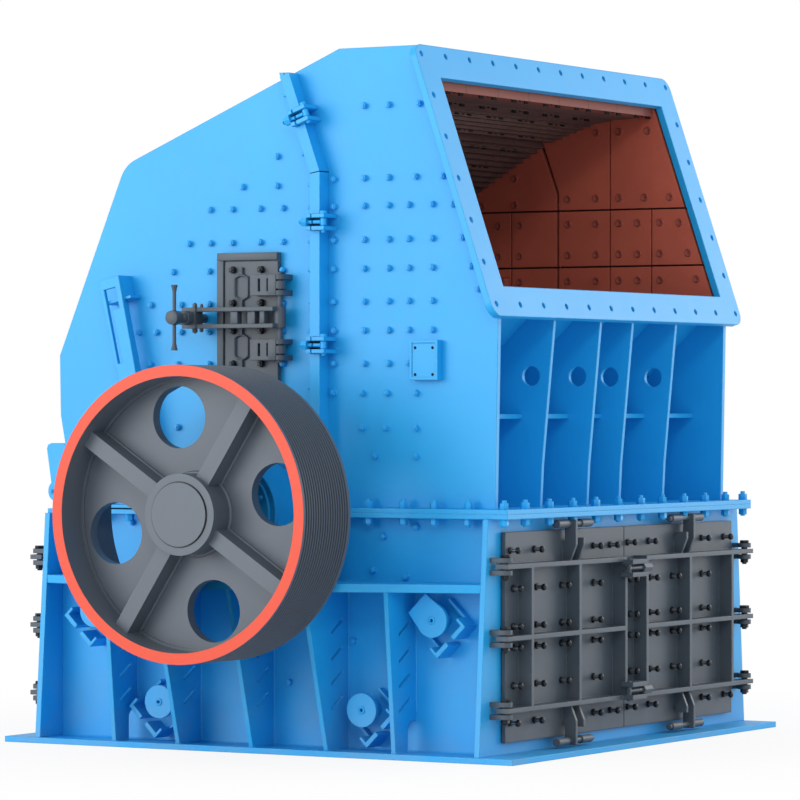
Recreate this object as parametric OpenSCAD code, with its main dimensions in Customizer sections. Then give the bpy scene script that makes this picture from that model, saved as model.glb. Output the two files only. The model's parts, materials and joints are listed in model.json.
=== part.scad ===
// Horizontal shaft impact crusher: a fixed plant machine on a flat base flange.
// Frame: +X towards the feed end, -Y towards the belt sheave, +Z up.
// The origin is on the floor, under the middle of the rotor. All sizes in mm.

/* [Lower frame] */
// Distance between the outer faces of the side walls
body_w = 2140; // [1900:10:2600]
// Length of the lower frame over its end plates
lower_l = 2228; // [2100:2:2700]
// Height of the split plane and of the shaft axis
split_z = 1025; // [950:5:1250]
// Thickness of the side walls and end plates
wall_t = 25; // [16:1:40]
// Thickness of the base flange
base_t = 25; // [20:1:40]
// Reach of the base flange beyond the end plates
base_out_x = 159; // [120:1:200]
// Reach of the base flange beyond the side walls
base_out_y = 180; // [175:1:260]
// Reach of an end plate beyond the side wall, at the split plane
end_out_top = 100; // [90:1:120]
// Reach of an end plate beyond the side wall, at the base
end_out_foot = 175; // [150:1:175]
// Thickness of the split flanges, lower and upper alike
flange_t = 20; // [15:1:30]
// Reach of the split flanges beyond the walls
flange_out = 80; // [60:1:90]

/* [Bearing shelf and side ribs] */
// Height of the shaft axis above the bearing shelf
axis_h = 290; // [260:5:340]
// Thickness of the bearing shelf
shelf_t = 35; // [25:1:50]
// Reach of the shelf beyond the bearings
shelf_lip = 35; // [15:1:60]
// Reach of the shelf beyond the side wall, at the end plates
shelf_end = 120; // [90:1:120]
// Distance of the outer ribs from the rotor axis
rib_outer_x = 702; // [650:1:750]
// Distance of the inner ribs from the rotor axis
rib_inner_x = 372; // [340:1:420]
// Thickness of the ribs
rib_t = 20; // [12:1:30]

/* [Upper housing] */
// Height of the flat roof above the split plane
roof_h = 1965; // [1850:5:2400]
// Drop of the roof from its break to the rear corner
roof_drop = 464; // [400:1:520]
// Distance of the roof break behind the feed flange
roof_break = 434; // [380:1:470]
// Distance of the rear corner in front of the rear end plate
rear_corner_in = 355; // [320:1:400]
// Radius of that corner
rear_corner_r = 140; // [80:5:200]
// Height of the knee of the rear wall above the split plane
knee_h = 672; // [600:1:750]
// Where the housing joint crosses the split plane
seam_x = 260; // [230:1:300]
// Depth of the kink of the housing joint below the roof
seam_kink = 526; // [480:1:600]
// Lean of the upper part of the housing joint, degrees
seam_lean = 19.9; // [15:0.1:23]
// Depth of the flanges along the housing joint
seam_flange_h = 75; // [50:1:90]
// Thickness of one flange of the housing joint
seam_flange_t = 21; // [15:1:30]
// Thickness of the roof and of the rear shell
shell_t = 20; // [12:1:30]
// Thickness of the wear liners
liner_t = 25; // [15:1:40]

/* [Feed opening] */
// Distance of the upper hole row behind the front end plate
feed_in = 345; // [320:1:380]
// Tilt of the feed flange from upright, degrees
feed_tilt = 18.9; // [17:0.1:21]
// Clear height of the feed opening along the flange
feed_open_h = 930; // [780:5:1120]
// Width of the frame from the upper hole row to the opening
feed_frame_top = 101; // [95:1:130]
// Width of the frame from the opening to the lower hole row
feed_frame_low = 79; // [70:1:110]
// Distance of the side hole rows from the side walls
feed_row_out = 55; // [45:1:70]
// Thickness of the feed flange
feed_flange_t = 30; // [20:1:40]
// Diameter of the feed flange holes
feed_hole_d = 26; // [22:1:33]

/* [Rotor and sheave] */
// Diameter over the blow bars
rotor_d = 1300; // [1080:10:1400]
// Number of blow bars
bar_count = 4; // [3:1:6]
// Diameter of the shaft
shaft_d = 220; // [160:5:264]
// Width of a bearing housing
bearing_w = 240; // [200:5:300]
// Diameter of the belt sheave
sheave_d = 1240; // [1030:10:1400]
// Width of the belt sheave
sheave_w = 370; // [300:5:450]
// Number of belt grooves
groove_count = 18; // [8:1:20]

/* [Doors] */
// Height of the lower edge of the end doors above the base flange
door_low = 50; // [40:1:80]
// Distance of the upper edge of the end doors below the split flange
door_top = 55; // [50:1:100]
// Thickness of a door plate
door_t = 18; // [12:1:25]
// Depth of the bars on a door
door_bar_h = 65; // [50:1:80]
// Distance between the bars of a door
door_bar_gap = 298; // [250:1:310]
// Width of the side inspection door
hatch_w = 305; // [250:1:320]
// Height of the side inspection door
hatch_h = 560; // [460:1:680]
// Distance of the middle of the inspection door behind the housing joint
hatch_in = 366; // [350:1:400]
// Height of its middle above the split plane
hatch_up = 827; // [800:1:900]

/* [Clearances] */
// Gap between parts that move past each other
gap = 6; // [5:0.5:10]
// Running clearance of a pin or shaft, on the radius
fit = 0.05; // [0.02:0.01:0.1]

/* [Hidden] */
blue = [0.30, 0.66, 0.95];
grey = [0.45, 0.47, 0.50];
dark = [0.30, 0.33, 0.37];
rust = [0.50, 0.20, 0.15];

half_w = body_w / 2;
inner_w = half_w - wall_t;
lined_w = inner_w - liner_t;
end_x = lower_l / 2;
lower_top = split_z - flange_t;
upper_low = split_z + flange_t;
roof_z = split_z + roof_h;
flange_y = half_w + flange_out;
rotor_r = rotor_d / 2;

// Flat plate: outline of [x, z] points, from y0 to y1
module xz_plate(points, y0, y1) {
    translate([0, y1, 0]) rotate([90, 0, 0]) linear_extrude(y1 - y0) polygon(points);
}

// Flat plate: outline of [y, z] points, from x0 to x1
module yz_plate(points, x0, x1) {
    translate([x0, 0, 0]) rotate([90, 0, 90]) linear_extrude(x1 - x0) polygon(points);
}

// Cylinder along Y from y0 to y1
module y_cyl(r, x, z, y0, y1, n = 64) {
    translate([x, y1, z]) rotate([90, 0, 0]) cylinder(r = r, h = y1 - y0, $fn = n);
}

// Block given by its lowest and highest corners
module block(lo, hi) {
    translate(lo) cube(hi - lo);
}

// The child on the drive side and its mirror image on the far side
module both_sides() {
    children();
    mirror([0, 1, 0]) children();
}

// Points of an arc, n steps from angle a0 to a1
function arc(cx, cy, r, a0, a1, n = 8) =
    [for (i = [0:n]) let (a = a0 + (a1 - a0) * i / n) [cx + r * cos(a), cy + r * sin(a)]];

function unit(v) = v / norm(v);
function left_of(v) = [-v[1], v[0]];

// The same open outline moved by t to its left side
function shifted(p, t) = [
    for (i = [0:len(p) - 1])
        let (
            before = unit(p[max(i, 1)] - p[max(i, 1) - 1]),
            after = unit(p[min(i + 1, len(p) - 1)] - p[min(i + 1, len(p) - 1) - 1]),
            n = unit(left_of(before) + left_of(after))
        )
        p[i] + n * t / (n * left_of(before))
];

function reversed(p) = [for (i = [len(p) - 1:-1:0]) p[i]];
function moved_x(p, d) = [for (q = p) [q[0] + d, q[1]]];

// ---- Lower frame ----

base_in = 35;
module base_flange() {
    x = [end_x - wall_t - base_in, end_x + base_out_x];
    y = [inner_w - base_in, half_w + base_out_y];
    color(blue)
    difference() {
        block([-x[1], -y[1], 0], [x[1], y[1], base_t]);
        block([-x[0], -y[0], -1], [x[0], y[0], base_t + 1]);
    }
}

shaft_gap_r = shaft_d / 2 + 40;
module lower_wall() {
    difference() {
        block([-end_x + wall_t, -half_w, base_t], [end_x - wall_t, -inner_w, lower_top]);
        y_cyl(shaft_gap_r, 0, split_z, -half_w - 1, -inner_w + 1);
    }
}
module lower_wall_drive() { color(blue) lower_wall(); }
module lower_wall_far() { color(blue) mirror([0, 1, 0]) lower_wall(); }

door_w = body_w - 10;
door_z = [base_t + door_low, lower_top - door_top];
door_lap = 45;
module lower_end() {
    foot = half_w + end_out_foot;
    head = half_w + end_out_top;
    difference() {
        yz_plate([[-foot, base_t], [foot, base_t], [head, lower_top], [-head, lower_top]],
                 end_x - wall_t, end_x);
        block([end_x - wall_t - 1, -door_w / 2 + door_lap, door_z[0] + door_lap],
              [end_x + 1, door_w / 2 - door_lap, door_z[1] - door_lap]);
    }
}
module lower_end_feed() { color(blue) lower_end(); }
module lower_end_rear() { color(blue) mirror([1, 0, 0]) lower_end(); }

bearing_in = half_w + seam_flange_h + gap;
bearing_y = [bearing_in, bearing_in + bearing_w];
bearing_half_l = shaft_d / 2 + 190;
shelf_z = [split_z - axis_h - shelf_t, split_z - axis_h];
shelf_x = end_x - wall_t;
shelf_ys = [half_w + shelf_end, bearing_y[1] + shelf_lip];
function shelf_y(x) = abs(x) > rib_inner_x + rib_t ? (shelf_ys[0] + shelf_ys[1]) / 2 : shelf_ys[1];
module bearing_shelves() {
    edge = [[shelf_x, -half_w], [shelf_x, -shelf_ys[0]], [rib_outer_x, -shelf_y(rib_outer_x)],
            [rib_inner_x + rib_t, -shelf_ys[1]]];
    color(blue) both_sides()
    translate([0, 0, shelf_z[0]]) linear_extrude(shelf_t)
        polygon(concat(edge, reversed([for (p = edge) [-p[0], p[1]]])));
}

drain_w = 70;
drain_z = base_t + 95;
slot_zs = [base_t + 199, base_t + 303, base_t + 408, base_t + 521];
slot_l = 105;
slot_w = 14;
slot_in = 95;
slot_lean = 31;
module drain(x) {
    mid = half_w + drain_w / 2;
    translate([x - rib_t, -mid, drain_z]) rotate([0, 90, 0])
        cylinder(r = drain_w / 2, h = 2 * rib_t, $fn = 48);
    block([x - rib_t, -half_w - drain_w, base_t - 1], [x + rib_t, -half_w + 1, drain_z]);
    block([x - rib_t, -mid, drain_z - 1], [x + rib_t, -half_w + 1, drain_z + drain_w / 2]);
}
module side_ribs() {
    foot = half_w + end_out_foot - 5;
    color(blue) both_sides()
    for (x = [-rib_outer_x, -rib_inner_x, 0, rib_inner_x, rib_outer_x])
        difference() {
            yz_plate([[-half_w, base_t], [-foot, base_t], [-shelf_y(x), shelf_z[0]], [-half_w, shelf_z[0]]],
                     x - rib_t / 2, x + rib_t / 2);
            if (abs(x) == rib_outer_x) drain(x);
            for (z = slot_zs) translate([x, -half_w - slot_in, z]) rotate([slot_lean, 0, 0])
                cube([2 * rib_t, slot_l, slot_w], center = true);
        }
}

rear_foot = [-end_x + 91, split_z + gap];
module side_flange(z0, x0, x1) {
    both_sides() block([x0, -flange_y, z0], [x1, -half_w, z0 + flange_t]);
}
module lower_split_flange() {
    color(blue) {
        side_flange(lower_top, bearing_half_l, end_x + flange_out);
        side_flange(lower_top, -end_x, -bearing_half_l);
        block([end_x - 2 * wall_t, -half_w, lower_top], [end_x + flange_out, half_w, split_z]);
        block([-end_x, -half_w, lower_top], [rear_foot[0] + 60, half_w, split_z]);
    }
}

// ---- Outline of the upper housing ----

// The feed flange is drawn from its upper hole row, 42 mm under the roof
feed_top = [end_x - feed_in, roof_z - 42];
feed_n = [cos(feed_tilt), sin(feed_tilt)];
feed_s = [sin(feed_tilt), -cos(feed_tilt)];
feed_rows = feed_frame_top + feed_open_h + feed_frame_low;
feed_edge_top = 43;
feed_edge_low = 53;
feed_edge_side = 46;
function on_feed_face(down, out = 0) = feed_top + down * feed_s + out * feed_n;

// Hair gap between the feed flange and the plates that stand against its back
feed_seat = 0.02;
// Point behind the feed flange at height z
function feed_back_at(z) =
    let (p = on_feed_face(0, -feed_flange_t - feed_seat)) [p[0] + (p[1] - z) * tan(feed_tilt), z];

break_x = feed_top[0] - roof_break;
rear_corner = [-end_x + rear_corner_in, roof_z - roof_drop];
roof_slope = roof_drop / (break_x - rear_corner[0]);
// Height of the sloping roof at x
function roof_at(x) = roof_z - (break_x - x) * roof_slope;

kink = [seam_x, roof_z - seam_kink];
// Joint between the housings at height z, above its kink
function seam_at(z) = [kink[0] - (z - kink[1]) * tan(seam_lean), z];
seam_top_x = (kink[0] + tan(seam_lean) * (kink[1] - roof_z + break_x * roof_slope))
    / (1 + tan(seam_lean) * roof_slope);
seam = [[seam_x, upper_low], kink, [seam_top_x, roof_at(seam_top_x)]];

front_foot = [end_x - 23, upper_low];
shoulder_z = on_feed_face(feed_rows + feed_edge_low - 22)[1];

module front_wall() {
    s = moved_x(seam, gap / 2);
    xz_plate([s[0], s[1], [s[2][0], roof_at(s[2][0])], [break_x, roof_z], feed_back_at(roof_z),
              feed_back_at(shoulder_z), front_foot], -half_w, -inner_w);
}
module front_wall_drive() { color(blue) front_wall(); }
module front_wall_far() { color(blue) mirror([0, 1, 0]) front_wall(); }

module front_roof() {
    x = seam_top_x + gap / 2;
    top = [feed_back_at(roof_z), [break_x, roof_z], [x, roof_at(x)]];
    color(blue) xz_plate(concat(top, reversed(shifted(top, shell_t))), -inner_w, inner_w);
}

module front_split_flange() {
    color(blue) {
        side_flange(split_z, bearing_half_l, end_x + flange_out);
        block([chute_foot[0] - 50, -half_w, split_z], [end_x + flange_out, half_w, upper_low]);
    }
}

// Frame of the feed flange: X out of the opening, Z up the flange
module on_feed() {
    translate([feed_top[0], 0, feed_top[1]]) rotate([0, -feed_tilt, 0]) children();
}

module rounded_plate(w, low, top, r, x0, x1) {
    translate([x0, 0, 0]) rotate([90, 0, 90]) linear_extrude(x1 - x0) {
        translate([-w / 2 + r, low]) square([w - 2 * r, top - low]);
        translate([-w / 2, low + r]) square([w, top - low - 2 * r]);
        for (y = [-w / 2 + r, w / 2 - r], z = [low + r, top - r]) translate([y, z]) circle(r = r, $fn = 64);
    }
}

feed_cols = body_w + 2 * feed_row_out;
feed_holes_across = 12;
feed_holes_down = 7;
feed_corner_r = 60;
module feed_hole(y, z) {
    translate([-feed_flange_t - 1, y, z]) rotate([0, 90, 0])
        cylinder(d = feed_hole_d, h = feed_flange_t + 2, $fn = 32);
}
module feed_flange() {
    color(blue) on_feed()
    difference() {
        rounded_plate(feed_cols + 2 * feed_edge_side, -feed_rows - feed_edge_low, feed_edge_top,
                      feed_corner_r,
                      -feed_flange_t, 0);
        block([-feed_flange_t - 1, -lined_w, -feed_frame_top - feed_open_h],
              [1, lined_w, -feed_frame_top]);
        for (i = [0:feed_holes_across - 1], z = [0, -feed_rows])
            feed_hole(-feed_cols / 2 + i * feed_cols / (feed_holes_across - 1), z);
        for (j = [1:feed_holes_down - 2], y = [-feed_cols / 2, feed_cols / 2])
            feed_hole(y, -j * feed_rows / (feed_holes_down - 1));
    }
}

// The lip of the chute keeps clear of the rotor
lip_clear = 59;
lip_angle = 39.54;
chute_top = on_feed_face(feed_frame_top + feed_open_h, -feed_flange_t - feed_seat);
chute_lip = [0, split_z] + (rotor_r + lip_clear) * [cos(lip_angle), sin(lip_angle)];
chute_foot = [chute_lip[0] + 195, upper_low];
chute_line = [chute_top, chute_lip, chute_foot];
chute_n = left_of(unit(chute_lip - chute_top));
chute_low = shifted(chute_line, shell_t);
chute_back = [chute_top + feed_s * shell_t / (feed_s * chute_n), chute_low[1], chute_low[2]];
module feed_chute() {
    color(blue) xz_plate(concat(chute_line, reversed(chute_back)), -inner_w, inner_w);
}

gusset_ys = [-0.533 * half_w, -0.14 * half_w, 0.14 * half_w, 0.533 * half_w];
gusset_foot_x = end_x - 77;
gusset_kink = [end_x - 68, split_z + 200];
gusset_hole = [end_x - 121, split_z + 577];
gusset_hole_d = 85;
module front_gussets() {
    color(blue)
    for (y = gusset_ys) difference() {
        xz_plate([[gusset_foot_x, upper_low], gusset_kink, feed_back_at(shoulder_z),
                  chute_back[0], chute_back[1], chute_back[2]],
                 y - rib_t / 2, y + rib_t / 2);
        y_cyl(gusset_hole_d / 2, gusset_hole[0], gusset_hole[1], y - rib_t, y + rib_t);
    }
}

// Point at height z behind the lower leg of the chute
function chute_back_at(z) = chute_back[1] + (chute_back[2] - chute_back[1]) * (chute_back[1][1] - z)
    / (chute_back[1][1] - chute_back[2][1]);
brace_z = split_z + 415;
brace_t = 20;
brace_front_x = end_x - 164;
module gusset_braces() {
    b = concat([-inner_w - rib_t / 2], gusset_ys, [inner_w + rib_t / 2]);
    color(blue)
    for (i = [0:len(b) - 2])
        xz_plate([chute_back_at(brace_z), chute_back_at(brace_z - brace_t),
                  [brace_front_x, brace_z - brace_t], [brace_front_x, brace_z]],
                 b[i] + rib_t / 2, b[i + 1] - rib_t / 2);
}

// Fork plates of the seam clamps, above and below the eye bolt
clamp_zs = [split_z + 707, kink[1] - 211];
fork_t = 17;
fork_gap = 36;
fork_reach = 109;
fork_l = 61;
module fork_plates(x0, x1, y, z) {
    for (z0 = [z - fork_gap / 2 - fork_t, z + fork_gap / 2])
        block([x0, -half_w - fork_reach, z0], [x1, y, z0 + fork_t]);
}
module front_fork(z) {
    x = seam_x + gap / 2;
    fork_plates(x, x + fork_l, -half_w - seam_flange_h, z);
    fork_plates(x + seam_flange_t, x + fork_l, -half_w, z);
}
module rear_fork(z) {
    x = seam_x - gap / 2;
    fork_plates(x - seam_flange_t, x, -half_w - seam_flange_h, z);
}
// Places a child that is drawn around [seam_x, 0] on the leaning part of the joint
lean_up = 250;
module on_lean() {
    translate([seam_x - lean_up * sin(seam_lean), 0, kink[1] + lean_up * cos(seam_lean)])
        rotate([0, -seam_lean, 0]) translate([-seam_x, 0, 0]) children();
}
module front_seam_flanges() {
    inner = moved_x(seam, gap / 2);
    outer = moved_x(inner, seam_flange_t);
    color(blue) both_sides() {
        xz_plate(concat(inner, reversed(outer)), -half_w - seam_flange_h, -half_w);
        for (z = clamp_zs) front_fork(z);
        on_lean() front_fork(0);
    }
}

// Wear liner tiles on a side wall: the outline cut into a grid with open joints
joint = 8;
tile_zs = [roof_z - 870, roof_z - 607];
module liner_tiles(outline, xs, zs) {
    for (i = [0:len(xs) - 2], k = [0:len(zs) - 2])
        intersection() {
            xz_plate(outline, -inner_w, -lined_w);
            block([xs[i] + joint / 2, -inner_w - 1, zs[k] + joint / 2],
                  [xs[i + 1] - joint / 2, -lined_w + 1, zs[k + 1] - joint / 2]);
        }
}
liner_low = split_z + 420;
liner_edge = 12;
module front_liners() {
    s = moved_x(seam, gap / 2 + joint / 2);
    under = roof_z - shell_t - liner_edge;
    outline = [[s[0][0], liner_low], s[1], [s[2][0] + liner_edge, roof_at(s[2][0]) - shell_t - liner_edge],
               [break_x, under], feed_back_at(under) - [liner_edge, 0],
               chute_top - [liner_edge, 0], chute_lip + [-liner_edge, liner_edge]];
    color(rust) both_sides()
        {
            liner_tiles(outline, [0, seam_x + 275, seam_x + 490, end_x],
                        [split_z, tile_zs[0], tile_zs[1]]);
            liner_tiles(outline, [0, seam_x + 275, end_x], [tile_zs[1], roof_z]);
        }
}

apron_bar_l = 40;
apron_plate_t = 25;
apron_bar_h = 45;
apron_step = 24;
apron_w = lined_w - gap;
// Stepped face of wear bars along one stretch of an apron, from a to b.
// The bars face down like the treads of a stair; a plain stretch is one bar.
function bar_face(a, b, plain) =
    let (n = plain ? 1 : floor(norm(b - a) / apron_bar_l), d = (b - a) / n, u = left_of(unit(d)),
         low = apron_bar_h - min(apron_bar_l * abs(unit(d)[1]), apron_step))
    [for (i = [0:n - 1], p = [a + d * i + u * apron_bar_h, a + d * (i + 1) + u * low]) p];
// Apron along a bent line: a carrier plate behind it, bars on its left side
module apron(line, plain = 0) {
    face = [for (i = [0:len(line) - 2]) for (p = bar_face(line[i], line[i + 1], i < plain)) p];
    xz_plate(concat(face, reversed(shifted(line, -apron_plate_t))), -apron_w, apron_w);
}
module front_apron() {
    color(rust) apron([feed_back_at(roof_z - 139) - [16, 0], [break_x + 210, roof_z - 150],
                       [break_x + 90, roof_z - 177], seam_at(roof_z - 256) + [36, 0]], 2);
}

// ---- Adjusters of the lower grinding path ----

adjust_r = 72;
adjust_t = 20;
adjust_boss_r = 35;
adjust_out = half_w + 110;
tail = [101, 58];
cheek_x = 95;
cheek_t = 12;
cheek_zs = [-128, -76, 34];
stop_t = 20;
stop_gap = 35;
module adjuster(with_tail) {
    bore = 7;
    difference() {
        union() {
            y_cyl(adjust_r, 0, 0, -adjust_out, adjust_t - adjust_out);
            y_cyl(adjust_boss_r, 0, 0, -adjust_out, -half_w);
            if (with_tail) xz_plate([[-adjust_r, 0], [adjust_r, 0], [tail[1], tail[0]], [-tail[1], tail[0]]],
                                    -adjust_out, adjust_t - adjust_out);
        }
        y_cyl(bore, 0, 0, -adjust_out - 1, -adjust_out + 25, 32);
    }
    for (m = [0, 1]) mirror([m, 0, 0]) {
        block([stop_gap / 2, -adjust_out + 5, cheek_zs[0]], [cheek_x, -half_w, cheek_zs[0] + stop_t]);
        block([cheek_x - cheek_t, -adjust_out + 5, cheek_zs[0]], [cheek_x, -half_w, cheek_zs[1]]);
        block([cheek_x - cheek_t, -half_w - 35, cheek_zs[1]], [cheek_x, -half_w, cheek_zs[2]]);
    }
}
adjusters = [[end_x - 264, split_z - 443], [rib_inner_x + 138, base_t + 172]];
adjust_lean = 45;
module apron_adjusters() {
    color(blue) both_sides()
    for (i = [0, 1], s = [-1, 1])
        translate([s * adjusters[i][0], 0, adjusters[i][1]])
            rotate([0, -s * adjust_lean, 0]) adjuster(i == 0);
}

// ---- Rear pivot ----

pivot = [-end_x + 16, split_z + 75];
pivot_r = 25;
ear_t = 25;
ear_r = 48;
module ear(y0) {
    y_cyl(ear_r, pivot[0], pivot[1], y0, y0 + ear_t);
    block([-end_x, y0, split_z], [pivot[0] + ear_r - 8, y0 + ear_t, pivot[1]]);
}
module pivot_ears() {
    color(blue) both_sides() {
        ear(-half_w - gap - ear_t);
        ear(-inner_w + gap);
        y_cyl(pivot_r, pivot[0], pivot[1], -half_w - gap - ear_t, -inner_w + gap + ear_t);
    }
}

// ---- Bearings ----

bearing_r = shaft_d / 2 + 105;
bearing_foot_h = 60;
module bearing_housings() {
    color(blue) both_sides()
    difference() {
        union() {
            y_cyl(bearing_r, 0, split_z, -bearing_y[1], -bearing_y[0]);
            block([-bearing_r, -bearing_y[1] + 20, shelf_z[1]], [bearing_r, -bearing_y[0] - 20, split_z]);
            block([-bearing_half_l + 10, -bearing_y[1], shelf_z[1]],
                  [bearing_half_l - 10, -bearing_y[0], shelf_z[1] + bearing_foot_h]);
        }
        y_cyl(shaft_d / 2 + fit, 0, split_z, -bearing_y[1] - 1, -bearing_y[0] + 1);
    }
}

// ---- End doors ----

door_x = end_x + 5;
hinge_r = 30;
hinge_pin_r = 14;
hinge = [end_x + 58, door_w / 2 + 63];
door_mid_z = (door_z[0] + door_z[1]) / 2;
bar_zs = [door_mid_z - door_bar_gap, door_mid_z, door_mid_z + door_bar_gap];
bar_t = 20;
hinge_fork_t = 20;
module door_fork(z) {
    reach = bar_t / 2 + gap + hinge_fork_t;
    for (z0 = [z - reach, z + reach - hinge_fork_t]) {
        block([end_x, -hinge[1] - hinge_r, z0], [hinge[0], -hinge[1] + 12, z0 + hinge_fork_t]);
        translate([hinge[0], -hinge[1], z0]) cylinder(r = hinge_r, h = hinge_fork_t, $fn = 48);
    }
    translate([hinge[0], -hinge[1], z - reach]) cylinder(r = hinge_pin_r, h = 2 * reach, $fn = 48);
}
module door_hinge_forks() {
    color(grey) for (m = [0, 1]) mirror([m, 0, 0]) both_sides() for (z = bar_zs) door_fork(z);
}

door_rib_ys = [door_w / 2 - 120, door_w / 4 - 10, 100];
door_rib_t = 20;
hook_y = -door_w / 4 + 10;
bar_x = [door_x + door_t, door_x + door_t + door_bar_h];
// Gooseneck bracket on a bar at z = 0: a tall and a low cheek, and a lifting pin across the top
neck_t = 16;
neck_ys = [hook_y - 43, hook_y + 27];
neck_in = 12;
neck_toe = 34;
neck_bend_z = 75;
neck_low_z = 104;
neck_throat_r = 30;
neck_pin = [34, -17];
neck_pin_r = [12, 17.5];
neck_pin_ys = [-160, -65, 50, 140, 160];
// Cheek outline up to height top, with a round throat between it and the door plate
module neck_cheek(top, y) {
    throat = arc(neck_in - neck_throat_r, neck_low_z, neck_throat_r, 0, -53);
    xz_plate([for (p = concat([[0, 0], [neck_toe, 0], [door_bar_h, neck_bend_z], [door_bar_h, top],
                               [neck_in, top]], throat, [[0, neck_low_z - 24]]))
        p + [bar_x[0], 0]], y, y + neck_t);
}
module neck(rise) {
    x = bar_x[0] + neck_pin[0];
    z = rise + neck_pin[1];
    neck_cheek(rise, neck_ys[0]);
    neck_cheek(neck_low_z, neck_ys[1]);
    y_cyl(neck_pin_r[0], x, z, hook_y + neck_pin_ys[0], hook_y + neck_pin_ys[4], 32);
    for (i = [0, 2])
        y_cyl(neck_pin_r[1], x, z, hook_y + neck_pin_ys[i], hook_y + neck_pin_ys[i + 1], 32);
}
// Latch between the doors: two open plates, a pin through both, and an eye bolt with its nut
latch_ys = [-131, 0, 74, 84];
latch_bolt_r = 9.5;
latch_nut_r = 20;
latch_x = [bar_x[1] - 12, bar_x[1] + 48];
latch_half_h = 38;
latch_gap = 18;
latch_pin_y = -118;
module latch(z) {
    mid = bar_x[1] + 23;
    for (z0 = [z - latch_half_h, z + latch_gap])
        block([latch_x[0], latch_ys[0], z0], [latch_x[1], latch_ys[1], z0 + latch_half_h - latch_gap]);
    translate([mid, latch_pin_y, z - latch_half_h - gap])
        cylinder(r = 9, h = 2 * (latch_half_h + gap), $fn = 32);
    y_cyl(latch_bolt_r, mid, z, latch_pin_y - latch_bolt_r, latch_ys[3], 32);
    y_cyl(latch_nut_r, mid, z, latch_ys[1], latch_ys[2], 6);
}
module end_door(latch) {
    y_in = -gap / 2;
    y_out = -door_w / 2;
    inner_rib = y_in - door_rib_ys[2] + door_rib_t / 2;
    difference() {
        union() {
            block([door_x, y_out, door_z[0]], [door_x + door_t, y_in, door_z[1]]);
            for (z = bar_zs) {
                block([bar_x[0], y_out, z - bar_t / 2], [bar_x[1], inner_rib, z + bar_t / 2]);
                block([hinge[0] - hinge_r, -hinge[1] - hinge_r, z - bar_t / 2],
                      [bar_x[1], y_out, z + bar_t / 2]);
            }
            for (y = door_rib_ys)
                block([bar_x[0], -y - door_rib_t / 2, bar_zs[0]], [bar_x[1], -y + door_rib_t / 2, bar_zs[2]]);
            translate([0, 0, bar_zs[2]]) neck(lower_top - 2 * gap - bar_zs[2]);
            translate([0, 0, bar_zs[0]]) mirror([0, 0, 1]) neck(bar_zs[0] - base_t - 2 * gap);
            if (latch) for (z = [bar_zs[0] + 27, bar_zs[2] - 38]) latch(z);
        }
        for (z = bar_zs)
            translate([hinge[0], -hinge[1], z - bar_t])
                cylinder(r = hinge_pin_r + fit, h = 2 * bar_t, $fn = 48);
    }
}
module feed_door_drive() { color(dark) end_door(true); }
module feed_door_far() { color(dark) mirror([0, 1, 0]) end_door(false); }
module rear_door_drive() { color(dark) mirror([1, 0, 0]) end_door(true); }
module rear_door_far() { color(dark) mirror([1, 0, 0]) mirror([0, 1, 0]) end_door(false); }

cover = [[end_x - 412, split_z + 558], [end_x - 276, split_z + 725]];
cover_h = 40;
cover_rim = 12;
module cover_box() {
    color(blue) difference() {
        block([cover[0][0], -half_w - cover_h, cover[0][1]], [cover[1][0], -half_w, cover[1][1]]);
        block([cover[0][0] + cover_rim, -half_w - cover_h - 1, cover[0][1] + cover_rim],
              [cover[1][0] - cover_rim, -half_w - cover_h + 4, cover[1][1] - cover_rim]);
    }
}

// ---- Rear housing, which tips back about the rear pivot ----

rear_knee = [-end_x + 9, split_z + knee_h];
rear_belly = [-end_x + 14, split_z + 409];
roof_angle = atan(roof_slope);
steep = atan2(rear_corner[1] - rear_knee[1], rear_corner[0] - rear_knee[0]);
corner_reach = rear_corner_r * tan((steep - roof_angle) / 2);
corner_c = rear_corner + corner_reach * [cos(roof_angle), sin(roof_angle)]
    + rear_corner_r * [sin(roof_angle), -cos(roof_angle)];
// Outer line of the rear housing, from the joint at the roof down to the foot
function rear_line() = concat(
    [[seam_top_x - gap / 2, roof_at(seam_top_x - gap / 2)]],
    arc(corner_c[0], corner_c[1], rear_corner_r, 90 + roof_angle, 90 + steep),
    [rear_knee, rear_belly, rear_foot]);
hatch = [seam_x - hatch_in, split_z + hatch_up];
hatch_open = [hatch_w - 90, hatch_h - 110];
module hatch_cut(y0, y1) {
    block([hatch[0] - hatch_open[0] / 2, y0, hatch[1] - hatch_open[1] / 2],
          [hatch[0] + hatch_open[0] / 2, y1, hatch[1] + hatch_open[1] / 2]);
}
module rear_wall() {
    s = moved_x(seam, -gap / 2);
    difference() {
        xz_plate(concat([[s[0][0], rear_foot[1]], s[1]], rear_line()), -half_w, -inner_w);
        y_cyl(shaft_gap_r, 0, split_z, -half_w - 1, -inner_w + 1);
    }
}
module rear_wall_drive() {
    color(blue) difference() {
        rear_wall();
        hatch_cut(-half_w - 1, -inner_w + 1);
    }
}
module rear_wall_far() { color(blue) mirror([0, 1, 0]) rear_wall(); }

module rear_shell() {
    line = rear_line();
    color(blue) xz_plate(concat(line, reversed(shifted(line, shell_t))), -inner_w, inner_w);
}

module rear_flanges() {
    s = moved_x(seam, -gap / 2);
    inner = [[s[0][0], rear_foot[1]], s[1], s[2]];
    color(blue) both_sides() {
        xz_plate(concat(inner, reversed(moved_x(inner, -seam_flange_t))), -half_w - seam_flange_h, -half_w);
        block([-end_x + 90, -flange_y, rear_foot[1]], [-bearing_half_l, -half_w, upper_low]);
        for (z = clamp_zs) rear_fork(z);
        on_lean() rear_fork(0);
    }
}

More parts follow.
